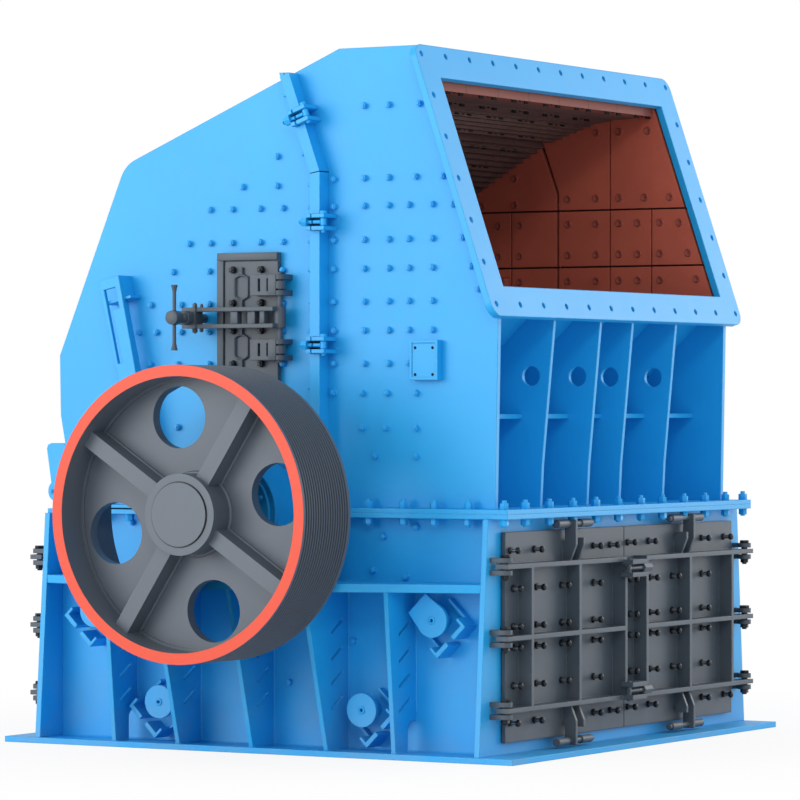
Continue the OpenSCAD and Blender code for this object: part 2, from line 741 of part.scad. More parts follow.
module rear_liners() {
    s = moved_x(seam, -gap / 2 - joint / 2);
    line = shifted(rear_line(), shell_t + liner_edge);
    last = len(line) - 1;
    outline = concat([[s[0][0], liner_low], s[1], [line[0][0] - liner_edge, line[0][1]]],
                     [for (i = [1:last - 1]) line[i]], [[line[last - 1][0] + 60, liner_low]]);
    color(rust) both_sides() difference() {
        union() {
            liner_tiles(outline, [-end_x, seam_x - 1020, seam_x - 590, seam_x - 247, seam_x + 20],
                        [split_z, split_z + 735, tile_zs[0], tile_zs[1]]);
            liner_tiles(outline, [-end_x, seam_x - 590, seam_x + 20], [tile_zs[1], roof_z]);
        }
        hatch_cut(-inner_w - 1, -lined_w + 1);
        y_cyl(rotor_r + 30, 0, split_z, -inner_w - 1, -lined_w + 1);
    }
}

// Both rear aprons hang around the rotor and keep clear of it
function round_rotor(clear, a) = [0, split_z] + (rotor_r + clear) * [cos(a), sin(a)];
module first_apron() {
    low = round_rotor(146, 129.4);
    bend_x = low[0] + 65;
    top = seam_at(roof_z - 273) + [4, 0];
    mid_x = (top[0] + bend_x) / 2 - 30;
    color(rust) apron([top, [mid_x, roof_at(mid_x) - 258], [bend_x, roof_at(bend_x) - 512], low]);
}
module second_apron() {
    color(rust) apron([round_rotor(322, 136), round_rotor(235, 153.4), round_rotor(135, 173.8)]);
}

// Point at height z on the outer line of the lower rear wall
function belly_at(z) =
    rear_belly + (rear_foot - rear_belly) * (rear_belly[1] - z) / (rear_belly[1] - rear_foot[1]);
bracket_r = 42;
module pivot_brackets() {
    fin = [[-52, 211], [-70, 204], [-77, 187], [-48, 3], [-32, -30], [0, -42]];
    color(blue) both_sides() difference() {
        union() {
            xz_plate(concat([belly_at(pivot[1] - 34), belly_at(pivot[1] + 211)], [for (p = fin) pivot + p]),
                     -half_w, -inner_w);
            y_cyl(bracket_r, pivot[0], pivot[1], -half_w, -inner_w);
        }
        y_cyl(pivot_r + fit, pivot[0], pivot[1], -half_w - 1, -inner_w + 1);
    }
}

arm_top = [-end_x + 334, split_z + 1005];
arm_lean = 13;
arm_l = 760;
arm_w = [108, 84];
arm_out = 100;
arm_t = 18;
arm_slot = [26, -375, -45];
arm_window = [36, -140];
arm_box = -95;
arm_side_t = 16;
arm_side_h = 36;
arm_foot_h = 60;
module slotted_arms() {
    y = [-half_w - arm_out, -half_w - arm_out + arm_t];
    left = -arm_w[0] / 2;
    right = arm_w[0] / 2;
    foot = right - (arm_w[0] - arm_w[1]) / 2;
    color(blue) both_sides()
    translate([arm_top[0], 0, arm_top[1]]) rotate([0, -arm_lean, 0]) {
        difference() {
            xz_plate([[left, 0], [right, 0], [foot, -arm_l], [foot - arm_w[1], -arm_l]], y[0], y[1]);
            block([-arm_slot[0] - 8, y[0] - 1, arm_slot[1]], [-8, y[1] + 1, arm_slot[2]]);
            block([-arm_slot[0] - 8, y[0] - 1, arm_window[1]], [arm_window[0] - 8, y[1] + 1, arm_slot[2]]);
        }
        block([right - arm_side_t, y[1], arm_box], [right, -half_w, 0]);
        block([foot - arm_side_t, y[1], -arm_l], [foot, y[1] + arm_side_h, arm_box]);
        block([foot - arm_w[1], y[1], -arm_l], [foot, -half_w, arm_foot_h - arm_l]);
        block([left, y[1], arm_box - 12], [right + 30, -half_w, arm_box]);
    }
}

// ---- Inspection hatch ----

hatch_pin = [hatch[0] + hatch_w / 2 + 30, -half_w - 62];
hatch_pin_r = 12;
knuckle_r = 26;
hatch_t = [12, 12];
hatch_y0 = -half_w - gap - hatch_t[0] - hatch_t[1];
hatch_rim = [36, 37];
strap_z = 138;
strap_h = 90;
strap_l = 134;
strap_slots = [39, 83];
strap_end = 32;
lug_h = 22;
module knuckle_at(z, h, r) {
    translate([hatch_pin[0], hatch_pin[1], z - h / 2]) cylinder(r = r, h = h, $fn = 48);
}
module hatch_hinges() {
    lug_z = (strap_h - lug_h) / 2;
    color(grey) {
        for (z = [hatch[1] - strap_z, hatch[1] + strap_z], s = [-lug_z, lug_z]) {
            knuckle_at(z + s, lug_h, knuckle_r);
            block([hatch_pin[0] - 2, hatch_pin[1], z + s - lug_h / 2],
                  [hatch_pin[0] + knuckle_r, -half_w, z + s + lug_h / 2]);
        }
        knuckle_at(hatch[1], 2 * (strap_z + lug_z) + lug_h + 20, hatch_pin_r);
    }
}
module hatch_door() {
    eye_h = strap_h - 2 * (lug_h + gap);
    color(grey) difference() {
        union() {
            block([hatch[0] - hatch_w / 2, -half_w - gap - hatch_t[0], hatch[1] - hatch_h / 2],
                  [hatch[0] + hatch_w / 2, -half_w - gap, hatch[1] + hatch_h / 2]);
            block([hatch[0] - hatch_w / 2 + hatch_rim[0], hatch_y0, hatch[1] - hatch_h / 2],
                  [hatch[0] + hatch_w / 2, -half_w - gap - hatch_t[0],
                   hatch[1] + hatch_h / 2 - hatch_rim[1]]);
            for (z = [hatch[1] - strap_z, hatch[1] + strap_z]) {
                difference() {
                    block([hatch_pin[0] - strap_l, hatch_pin[1] - knuckle_r, z - strap_h / 2],
                          [hatch_pin[0] - strap_end, hatch_y0, z + strap_h / 2]);
                    for (x = strap_slots)
                        block([hatch_pin[0] - x - 12, hatch_pin[1] - knuckle_r - 1, z - 27],
                              [hatch_pin[0] - x, hatch_pin[1] - 8, z + 27]);
                }
                block([hatch_pin[0] - strap_end, hatch_pin[1] - knuckle_r, z - eye_h / 2],
                      [hatch_pin[0], hatch_y0, z + eye_h / 2]);
                knuckle_at(z, eye_h, knuckle_r);
            }
        }
        knuckle_at(hatch[1], hatch_h, hatch_pin_r + fit);
    }
}
screw_x = hatch[0] - 239;
screw_r = 20;
screw_bar_l = 280;
bar_y = [hatch_pin[1] - knuckle_r - 32, hatch_pin[1]];
bar_dz = 36;
bar_h = 18;
module hatch_bar() {
    mid_y = (bar_y[0] + bar_y[1]) / 2 - 3;
    color(grey) difference() {
        union() {
            for (z = [hatch[1] - bar_dz, hatch[1] + bar_dz])
                block([screw_x, bar_y[0], z - bar_h / 2], [hatch_pin[0], bar_y[1], z + bar_h / 2]);
            knuckle_at(hatch[1], 2 * bar_dz + bar_h, knuckle_r);
            block([screw_x - 34, bar_y[0] - 8, hatch[1] - bar_dz - bar_h / 2],
                  [screw_x + 34, bar_y[1] - 6, hatch[1] + bar_dz + bar_h / 2]);
            block([hatch[0] + 46, mid_y - 11, hatch[1] - 30], [hatch[0] + 76, mid_y + 11, hatch[1] + 30]);
        }
        knuckle_at(hatch[1], hatch_h, hatch_pin_r + fit);
        y_cyl(screw_r + fit, screw_x, hatch[1], bar_y[0] - 60, bar_y[1] + 40);
    }
}
module hatch_screw() {
    hub_y = bar_y[0] - 118;
    color(grey) {
        y_cyl(screw_r, screw_x, hatch[1], hub_y, -half_w - gap);
        y_cyl(screw_r + 10, screw_x, hatch[1], hub_y - 25, hub_y + 25);
        translate([screw_x, hub_y, hatch[1]]) {
            translate([0, 0, -screw_bar_l / 2]) cylinder(r = 8, h = screw_bar_l, $fn = 32);
            for (m = [0, 1]) mirror([0, 0, m]) translate([0, 0, screw_bar_l / 2 - 30])
                cylinder(r1 = 8, r2 = 15, h = 30, $fn = 32);
        }
    }
}

// ---- Rotor ----

sheave_gap = 59;
sheave_y = [-bearing_y[1] - sheave_gap - sheave_w, -bearing_y[1] - sheave_gap];
shaft_in = 60;
module shaft() {
    color(grey) y_cyl(shaft_d / 2, 0, split_z, sheave_y[0] + shaft_in, bearing_y[1] + 10);
}

rotor_half_l = lined_w - 25;
blow_bar = [290, 110];
bar_turn = 20;
// Puts a child that is drawn around the Y axis on the rotor axis, turned by a
module on_rotor(a) {
    translate([0, 0, split_z]) rotate([0, a, 0]) children();
}
disc_count = 6;
disc_t = 60;
module rotor_body() {
    edge = rotor_half_l - 60;
    color(dark) difference() {
        union() {
            for (i = [0:disc_count - 1]) let (y = -edge + i * 2 * edge / (disc_count - 1))
                y_cyl(rotor_r - 70, 0, split_z, y - disc_t / 2, y + disc_t / 2, 96);
            y_cyl(shaft_d / 2 + 130, 0, split_z, -edge, edge);
        }
        y_cyl(shaft_d / 2 + fit, 0, split_z, -half_w, half_w);
        for (k = [0:bar_count - 1]) on_rotor(k * 360 / bar_count + bar_turn)
            block([rotor_r - blow_bar[0], -half_w, -blow_bar[1] / 2], [rotor_d, half_w, blow_bar[1] / 2]);
    }
}
module blow_bars() {
    color(rust)
    for (k = [0:bar_count - 1]) on_rotor(k * 360 / bar_count + bar_turn)
        block([rotor_r - blow_bar[0], -rotor_half_l, -blow_bar[1] / 2],
              [rotor_r, rotor_half_l, blow_bar[1] / 2]);
}

sheave_r = sheave_d / 2;
rim_in_r = sheave_r - 47;
web_y = [sheave_y[0] + 155, sheave_y[0] + 205];
hub_r = shaft_d / 2 + 60;
web_hole_r = 130;
web_hole_at = (hub_r + rim_in_r) / 2 + 40;
web_hole_turn = 12;
spoke_turn = 57;
groove_pitch = (sheave_w - 30) / groove_count;
groove_h = 15;
function groove_points() = concat(
    [[rim_in_r, 0], [sheave_r, 0]],
    [for (i = [0:groove_count - 1], k = [0:3])
        let (y = 15 + i * groove_pitch, a = groove_pitch)
        [k == 1 || k == 2 ? sheave_r - groove_h : sheave_r, y + a * [0.12, 0.35, 0.65, 0.88][k]]],
    [[sheave_r, sheave_w], [rim_in_r, sheave_w]]);
module sheave() {
    color(dark) difference() {
        union() {
            translate([0, sheave_y[0], split_z]) rotate([-90, 0, 0])
                rotate_extrude($fn = 128) polygon(groove_points());
            difference() {
                y_cyl(rim_in_r + 5, 0, split_z, web_y[0], web_y[1], 128);
                for (k = [0:3]) on_rotor(-k * 90 - web_hole_turn)
                    y_cyl(web_hole_r, web_hole_at, 0, web_y[0] - 1, web_y[1] + 1);
            }
            difference() {
                y_cyl(rim_in_r + 5, 0, split_z, web_y[0] - 10, web_y[0], 128);
                y_cyl(rim_in_r - 12, 0, split_z, web_y[0] - 11, web_y[0] + 1, 128);
            }
            y_cyl(hub_r, 0, split_z, sheave_y[0] + 25, sheave_y[0] + 330);
            for (k = [0:3]) on_rotor(-k * 90 - spoke_turn)
                block([hub_r - 20, sheave_y[0] + shaft_in, -35], [rim_in_r + 5, web_y[0], 35]);
        }
        y_cyl(shaft_d / 2 + fit, 0, split_z, sheave_y[0] + shaft_in, 0);
    }
}

base_flange();
lower_wall_drive();
lower_wall_far();
lower_end_feed();
lower_end_rear();
bearing_shelves();
side_ribs();
lower_split_flange();
front_split_flange();
bearing_housings();
front_wall_drive();
front_wall_far();
front_roof();
feed_flange();
feed_chute();
front_gussets();
gusset_braces();
front_seam_flanges();
front_liners();
front_apron();
apron_adjusters();
pivot_ears();
door_hinge_forks();
cover_box();
rear_wall_drive();
rear_wall_far();
rear_shell();
rear_flanges();
rear_liners();
first_apron();
second_apron();
pivot_brackets();
slotted_arms();
hatch_hinges();
hatch_door();
hatch_bar();
hatch_screw();
feed_door_drive();
feed_door_far();
rear_door_drive();
rear_door_far();
shaft();
rotor_body();
blow_bars();
sheave();
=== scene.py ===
# %% [markdown]
# # A horizontal shaft impact crusher
#
# Rock falls through the flanged mouth onto a heavy rotor, which throws it against
# the aprons. The steel plates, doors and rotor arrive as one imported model. This
# lesson dresses it: paint, wear, fasteners, weld beads, light and a camera.

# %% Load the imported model
import json
import math

import bmesh
import bpy
from mathutils import Matrix, Vector


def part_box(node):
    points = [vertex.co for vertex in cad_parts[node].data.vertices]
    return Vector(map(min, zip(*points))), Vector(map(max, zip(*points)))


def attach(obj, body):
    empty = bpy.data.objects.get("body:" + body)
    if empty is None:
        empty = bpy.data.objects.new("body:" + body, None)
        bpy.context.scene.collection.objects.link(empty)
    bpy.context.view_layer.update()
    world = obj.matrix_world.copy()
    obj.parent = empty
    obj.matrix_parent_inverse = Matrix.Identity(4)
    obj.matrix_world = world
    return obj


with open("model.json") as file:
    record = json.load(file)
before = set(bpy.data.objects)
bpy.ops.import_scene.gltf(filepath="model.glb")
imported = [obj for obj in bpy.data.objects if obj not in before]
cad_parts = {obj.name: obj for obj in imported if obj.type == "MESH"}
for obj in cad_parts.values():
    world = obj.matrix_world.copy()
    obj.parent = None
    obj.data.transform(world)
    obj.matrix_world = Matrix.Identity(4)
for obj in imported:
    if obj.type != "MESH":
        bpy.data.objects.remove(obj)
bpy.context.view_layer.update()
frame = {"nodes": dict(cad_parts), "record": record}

# %% [markdown]
# ## The camera
#
# A long lens from far away keeps the plates nearly parallel, as in a catalogue
# view. The camera stands level, at half the height of the machine, so that
# neither the roof nor the floor shows.

# %% Place the camera
CAMERA_AT = (9.852, -16.770, 1.4767)
AZIMUTH, RISE = math.radians(30.42), math.radians(0.0722)
FOCAL_MM, SENSOR_MM = 194.8, 36.0


def add_camera():
    lens = bpy.data.cameras.new("long_lens")
    lens.lens, lens.sensor_width = FOCAL_MM, SENSOR_MM
    lens.clip_end = 200.0
    camera = bpy.data.objects.new("camera", lens)
    camera.location, camera.rotation_euler = CAMERA_AT, (math.pi / 2 + RISE, 0.0, AZIMUTH)
    bpy.context.scene.collection.objects.link(camera)
    bpy.context.scene.camera = camera
    return camera


camera = add_camera()
print("camera at", [round(c, 2) for c in camera.location])

# %% [markdown]
# ## Shader maths as Python
#
# Node trees grow quickly when every sum is a node that is placed by hand. The
# Value class wraps one socket, so that `1 - mask * 0.4` writes the Math nodes
# itself. Everything that isn't arithmetic goes through Finish.add, which sets a
# node's options first and feeds its sockets after.

# %% Wrap a socket so that it takes part in sums
class Value:
    """One number of a surface, which may differ from place to place."""

    def __init__(self, finish, socket):
        self.finish, self.socket = finish, socket

    def math(self, operation, *others, clamp=False):
        node = self.finish.add("ShaderNodeMath", {"operation": operation, "use_clamp": clamp},
                               dict(enumerate((self, *others))))
        return Value(self.finish, node.outputs[0])

    def __add__(self, other):
        return self.math("ADD", other)

    __radd__ = __add__

    def __sub__(self, other):
        return self.math("SUBTRACT", other)

    def __rsub__(self, other):
        return (self * -1.0) + other

    def __mul__(self, other):
        return self.math("MULTIPLY", other)

    def __truediv__(self, other):
        return self.math("DIVIDE", other)

    def above(self, edge, soft=0.0):
        """1 over edge and 0 under it, with a ramp of soft to each side."""
        if not soft:
            return self.math("GREATER_THAN", edge)
        return ((self - (edge - soft)) / (2 * soft)).clamped()

    def clamped(self):
        return self.math("ADD", 0.0, clamp=True)


# %% Any node tree, built through one method
class Nodes:
    """The node tree of a material or of the world."""

    def __init__(self, owner):
        owner.use_nodes = True
        self.tree = owner.node_tree
        self.tree.nodes.clear()

    def add(self, kind, settings=None, feeds=None):
        """Adds a node, sets its options, then feeds its sockets with values or links."""
        node = self.tree.nodes.new(kind)
        for key, setting in (settings or {}).items():
            setattr(node, key, setting)
        for key, feed in (feeds or {}).items():
            self.feed(node.inputs[key], feed)
        return node

    def feed(self, socket, feed):
        if isinstance(feed, Value):
            self.tree.links.new(feed.socket, socket)
        elif isinstance(feed, bpy.types.NodeSocket):
            self.tree.links.new(feed, socket)
        elif socket.type == "RGBA" and len(feed) == 3:
            socket.default_value = (*feed, 1.0)
        else:
            socket.default_value = feed


# %% A finish: a material and the nodes that feed it
class Finish(Nodes):
    """A material under construction, with its Principled shader as self.paint."""

    def __init__(self, name):
        self.material = bpy.data.materials.new(name)
        super().__init__(self.material)
        self.end = self.add("ShaderNodeOutputMaterial")
        self.paint = self.add("ShaderNodeBsdfPrincipled")
        self.feed(self.end.inputs["Surface"], self.paint.outputs[0])
        self.place = self.add("ShaderNodeTexCoord").outputs["Object"]

    def set(self, **values):
        """Feeds sockets of the shader; an underscore stands for a space."""
        for key, feed in values.items():
            self.feed(self.paint.inputs[key.replace("_", " ")], feed)
        return self

    def noise(self, scale, detail=2.0, rough=0.5):
        """A cloudy value around 0.5; scale is in lumps a metre."""
        node = self.add("ShaderNodeTexNoise", None, {
            "Vector": self.place, "Scale": scale, "Detail": detail, "Roughness": rough})
        return Value(self, node.outputs["Fac"])

    def mix(self, factor, first, second):
        """A colour between first, at 0, and second, at 1."""
        node = self.add("ShaderNodeMix", {"data_type": "RGBA"}, {0: factor, 6: first, 7: second})
        return node.outputs[2]

    def xyz(self):
        """The place of a point in metres, as three values."""
        node = self.add("ShaderNodeSeparateXYZ", None, {0: self.place})
        return [Value(self, out) for out in node.outputs]

    def edges(self, radius):
        """The rounded normal near edges, and how near an edge a point is, 0 to 1."""
        round_normal = self.add("ShaderNodeBevel", {"samples": 4}, {"Radius": radius}).outputs[0]
        flat_normal = self.add("ShaderNodeNewGeometry").outputs["Normal"]
        dot = self.add("ShaderNodeVectorMath", {"operation": "DOT_PRODUCT"},
                       {0: round_normal, 1: flat_normal}).outputs["Value"]
        near = ((1.0 - Value(self, dot)) * 5.0).clamped()
        return round_normal, near

    def bump(self, height, strength, distance, under=None):
        """Feeds Normal with a relief, over a rounded normal if one is given."""
        feeds = {"Height": height, "Strength": strength, "Distance": distance}
        if under is not None:
            feeds["Normal"] = under
        self.set(Normal=self.add("ShaderNodeBump", None, feeds).outputs[0])
        return self


print("shader helpers ready")

# %% [markdown]
# ## Satin machine paint
#
# The housings are sprayed in a bright satin blue over blasted plate. Seen close,
# such paint is never even: it has a fine orange peel, slow changes of tone where
# the spray passes overlap, and thin spots on edges, where it is lighter and less
# glossy. The Bevel node rounds the edges of light without any extra mesh.
# The upper walls have a variant with painted shade: their inner face, above the slope
# of the chute, is painted nearly black so that the joints between the liners read dark.

# %% Sprayed paint in any colour
BLUES = (0.011, 0.382, 0.800), (0.009, 0.350, 0.750), (0.16, 0.50, 0.90)
GREYS = (0.064, 0.085, 0.109), (0.053, 0.071, 0.091), (0.18, 0.19, 0.20)
# Dust low down, and a nearly black painted shade for the walls' inner faces behind the liners.
DUST, LINER_GAP_SHADE = (0.33, 0.31, 0.27), (0.05, 0.02, 0.02)
DUST_TOP, SMALL_EDGE, WALL_INSIDE = 0.5, 0.0012, 1.0465
CHUTE_SLOPE, CHUTE_RISE = 0.902, 1.045


def sprayed(name, light, dark, worn, rough=0.38, edge=0.006, shade_inside=None):
    """Satin paint in a light and a dark tone, worn on its edges and dusty low down; a wall
    variant takes painted shade on its inner face above the chute.
    """
    finish = Finish(name)
    passes = finish.noise(1.6, detail=3.0)
    cloud = finish.noise(9.0, detail=4.0, rough=0.6)
    tone = finish.mix((passes * 0.7 + cloud * 0.3).above(0.5, 0.16), dark, light)
    round_normal, near = finish.edges(edge)
    chips = near * finish.noise(70.0, detail=3.0, rough=0.7).above(0.53, 0.04)
    x, y, z = finish.xyz()
    low_down = 1.0 - (z / DUST_TOP).clamped()
    dust = low_down * finish.noise(5.0, detail=5.0).above(0.52, 0.12) * 0.16
    tone = finish.mix(dust, tone, DUST)
    # Painted shade: a wall's inner face above the chute is darkened nearly to black, for the gaps
    # between the liners.
    if shade_inside is not None:
        within = 1.0 - y.math("ABSOLUTE").above(shade_inside)
        over_chute = (z - x * CHUTE_SLOPE).above(CHUTE_RISE)
        tone = finish.mix(within * over_chute, tone, LINER_GAP_SHADE)
    finish.set(Base_Color=finish.mix(chips * 0.55, tone, worn),
               Roughness=rough + cloud * 0.1 + near * 0.08 + dust * 0.5)
    orange_peel = finish.noise(260.0, detail=1.0)
    return finish.bump(orange_peel, 0.16, 0.0006, round_normal).material


blue = sprayed("blue_satin", *BLUES)
# The upper walls take painted shade on their inner face.
wall_blue_gap_shaded = sprayed("wall_satin_shaded_inside", *BLUES, shade_inside=WALL_INSIDE)
blue_fittings = sprayed("blue_fittings", *BLUES, edge=SMALL_EDGE)
grey = sprayed("charcoal_satin", *GREYS, rough=0.40)
grey_fittings = sprayed("charcoal_fittings", *GREYS, rough=0.40, edge=SMALL_EDGE)
print("paints:", blue.name, grey.name)

# %% [markdown]
# ## The belt sheave
#
# The sheave is cast grey iron, painted dark, with the outer face of its rim in
# signal red so that a turning wheel is seen. Both colours are one material: the
# red is whatever lies in the outermost plane and outside the rim's inner edge.
# The belt grooves between two radii are darkened nearly to black as painted shade.

# %% Paint the sheave and its rim
RIM_INNER, RED_DEPTH = 0.5725, 0.0004
GROOVE_FLOOR, GROOVE_R = 0.595, 0.6155
IRONS = (0.086, 0.105, 0.130), (0.098, 0.118, 0.145)
SIGNAL_REDS = (0.74, 0.060, 0.014), (0.70, 0.052, 0.012)


def sheave_finish():
    finish = Finish("sheave_two_tone_shaded_grooves")
    x, y, z = finish.xyz()
    low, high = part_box("sheave")
    axis_z = (low.z + high.z) / 2
    up = z - axis_z
    radius = (x * x + up * up).math("SQRT")
    red_face = radius.above(RIM_INNER) * (1.0 - y.above(low.y + RED_DEPTH))
    grain = finish.noise(46.0, detail=3.0, rough=0.6)
    cloud = finish.noise(3.0, detail=2.0)
    iron = finish.mix(cloud, *IRONS)
    round_normal, near = finish.edges(SMALL_EDGE)
    chips = near * finish.noise(60.0, detail=3.0, rough=0.7).above(0.58, 0.03)
    iron = finish.mix(chips * 0.15, iron, (0.18, 0.19, 0.20))
    # Painted shade: the rim's grooves are darkened nearly to black.
    groove_shade = radius.above(GROOVE_FLOOR) * (1.0 - radius.above(GROOVE_R, 0.003))
    iron = finish.mix(groove_shade * 0.9, iron, (0.010, 0.012, 0.016))
    finish.set(Base_Color=finish.mix(red_face, iron, finish.mix(grain, *SIGNAL_REDS)),
               Roughness=0.40 + grain * 0.06)
    return finish.bump(grain, 0.10, 0.0006, round_normal).material


sheave_paint = sheave_finish()
print("sheave paint:", sheave_paint.name)

# %% [markdown]
# ## Wear plates
#
# Liners and aprons are cast in wear-resistant steel and leave the works in
# red-brown primer. Primer is dull and chalky, and the casting under it is rough.
# An apron is a row of blocks, so thin dark joints cross it at even steps.

# %% Primer on cast wear steel
BLOCK = 0.290
LIP_X, LIP_BLOCK, LIP_START = 0.68, 0.277, 0.112
JOINT_DARK, LIP_RED = (0.03, 0.008, 0.006), (0.24, 0.060, 0.041)
SCUFFED = (0.42, 0.20, 0.15)
REDS = (0.560, 0.115, 0.066), (0.475, 0.093, 0.054)
# The seats' reds are darker than the liner's: painted shade for the dished hollow round each bolt
# head.
SHADED_SEAT_REDS = (0.33, 0.068, 0.043), (0.27, 0.056, 0.036)
APRON_REDS = (0.150, 0.076, 0.064), (0.105, 0.054, 0.047)
BAR_REDS = (0.230, 0.090, 0.062), (0.160, 0.062, 0.045)


def cuts(along, pitch, start):
    """0.8 on thin joints that repeat every pitch from start, and 0 elsewhere."""
    step = ((along - start) * (1.0 / pitch) + 10.5).math("FRACT")
    return (1.0 - (step - 0.5).math("ABSOLUTE").above(0.009, 0.004)) * 0.8


def primer(name, light, dark, bumps=0.5, blocks=False, edge=0.004):
    """Primer; with blocks, dark joints cross the casting every BLOCK up to a redder lip."""
    finish = Finish(name)
    cloud = finish.noise(4.0, detail=5.0, rough=0.6)
    cast = finish.noise(85.0, detail=4.0, rough=0.6)
    tone = finish.mix(cloud.above(0.5, 0.22), dark, light)
    round_normal, near = finish.edges(edge)
    scuffs = near * finish.noise(35.0, detail=3.0).above(0.5, 0.06)
    if blocks:
        x, y, z = finish.xyz()
        tone = finish.mix(cuts(y, BLOCK, BLOCK / 2), tone, JOINT_DARK)
        lip = finish.mix(cuts(y, LIP_BLOCK, LIP_START), LIP_RED, JOINT_DARK)
        tone = finish.mix(x.above(LIP_X), tone, lip)
    finish.set(Base_Color=finish.mix(scuffs * 0.4, tone, SCUFFED),
               Roughness=0.62 + cast * 0.14)
    return finish.bump(cast, bumps, 0.0012, round_normal).material


liner = primer("liner_primer", *REDS)
shaded_seats = primer("liner_seats_painted_shade", *SHADED_SEAT_REDS, edge=SMALL_EDGE)
apron_blocks = primer("apron_primer", *APRON_REDS, blocks=True)
wear_bar = primer("cast_bar", *BAR_REDS, bumps=0.9)
print("wear finishes:", liner.name, wear_bar.name)

# %% [markdown]
# ## Bare and blackened steel
#
# The shaft is turned, which leaves fine rings round its axis. Door bolts are
# black oxide: very dark, but smooth enough to show a small bright glint. Pockets
# and gaps take a dull black, which is painted shade.

# %% Turned steel and black bolts
def turned_steel():
    finish = Finish("turned_steel")
    rings = (finish.xyz()[1] * 900.0).math("SINE") * 0.5 + 0.5
    haze = finish.noise(12.0, detail=3.0)
    finish.set(Base_Color=finish.mix(haze, (0.46, 0.47, 0.49), (0.36, 0.37, 0.39)),
               Metallic=1.0, Roughness=0.28 + haze * 0.14)
    return finish.bump(rings, 0.15, 0.0003).material


def black_oxide():
    finish = Finish("black_oxide")
    haze = finish.noise(30.0, detail=3.0)
    round_normal, near = finish.edges(0.002)
    finish.set(Base_Color=finish.mix(near * haze, (0.018, 0.021, 0.025), (0.12, 0.12, 0.125)),
               Metallic=0.55, Roughness=0.26 + haze * 0.14)
    return finish.bump(haze, 0.1, 0.0003, round_normal).material


def deep_shade():
    """Painted shade: the dull black of a deep pocket or gap, which hardly any light leaves."""
    finish = Finish("deep_shade")
    soot = finish.noise(60.0, detail=3.0)
    finish.set(Base_Color=finish.mix(soot, (0.006, 0.0045, 0.004), (0.014, 0.010, 0.009)),
               Roughness=0.85 + soot * 0.1, Specular_IOR_Level=0.1)
    return finish.bump(soot, 0.2, 0.0006).material


steel = turned_steel()
black = black_oxide()
shade = deep_shade()
print("metals:", steel.name, black.name)

# %% [markdown]
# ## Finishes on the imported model
#
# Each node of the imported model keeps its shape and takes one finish. The record
# already says which material slot a node belongs to, so a small table goes from
# slot to finish, and a second one names the few nodes that take a variant.

# %% Give every node its finish
BY_SLOT = {"blue_paint": blue, "grey_paint": grey, "sheave_paint": sheave_paint,
           "wear_liner": liner, "wear_bar": wear_bar, "bare_steel": steel}

BY_NODE = {"front_apron": apron_blocks, "first_apron": apron_blocks, "second_apron": apron_blocks,
           "front_wall_drive": wall_blue_gap_shaded, "front_wall_far": wall_blue_gap_shaded,
           "rear_wall_drive": wall_blue_gap_shaded, "rear_wall_far": wall_blue_gap_shaded}

for part in frame["record"]["subparts"]:
    node = frame["nodes"][part["node"]]
    finish_here = BY_NODE.get(part["node"], BY_SLOT[part["material_slot"]])
    node.data.materials.clear()
    node.data.materials.append(finish_here)

# %% [markdown]
# ## Drawing small parts
#
# Fasteners, pins and beads are drawn in millimetres, as on a works drawing, and
# scaled once at the end. A Piece gathers many of them in one mesh, since a row of
# bolts that rides on one body needs only one object.

# %% A mesh under construction
METRES = (0.001, 0.001, 0.001)
CREASE = math.radians(38)


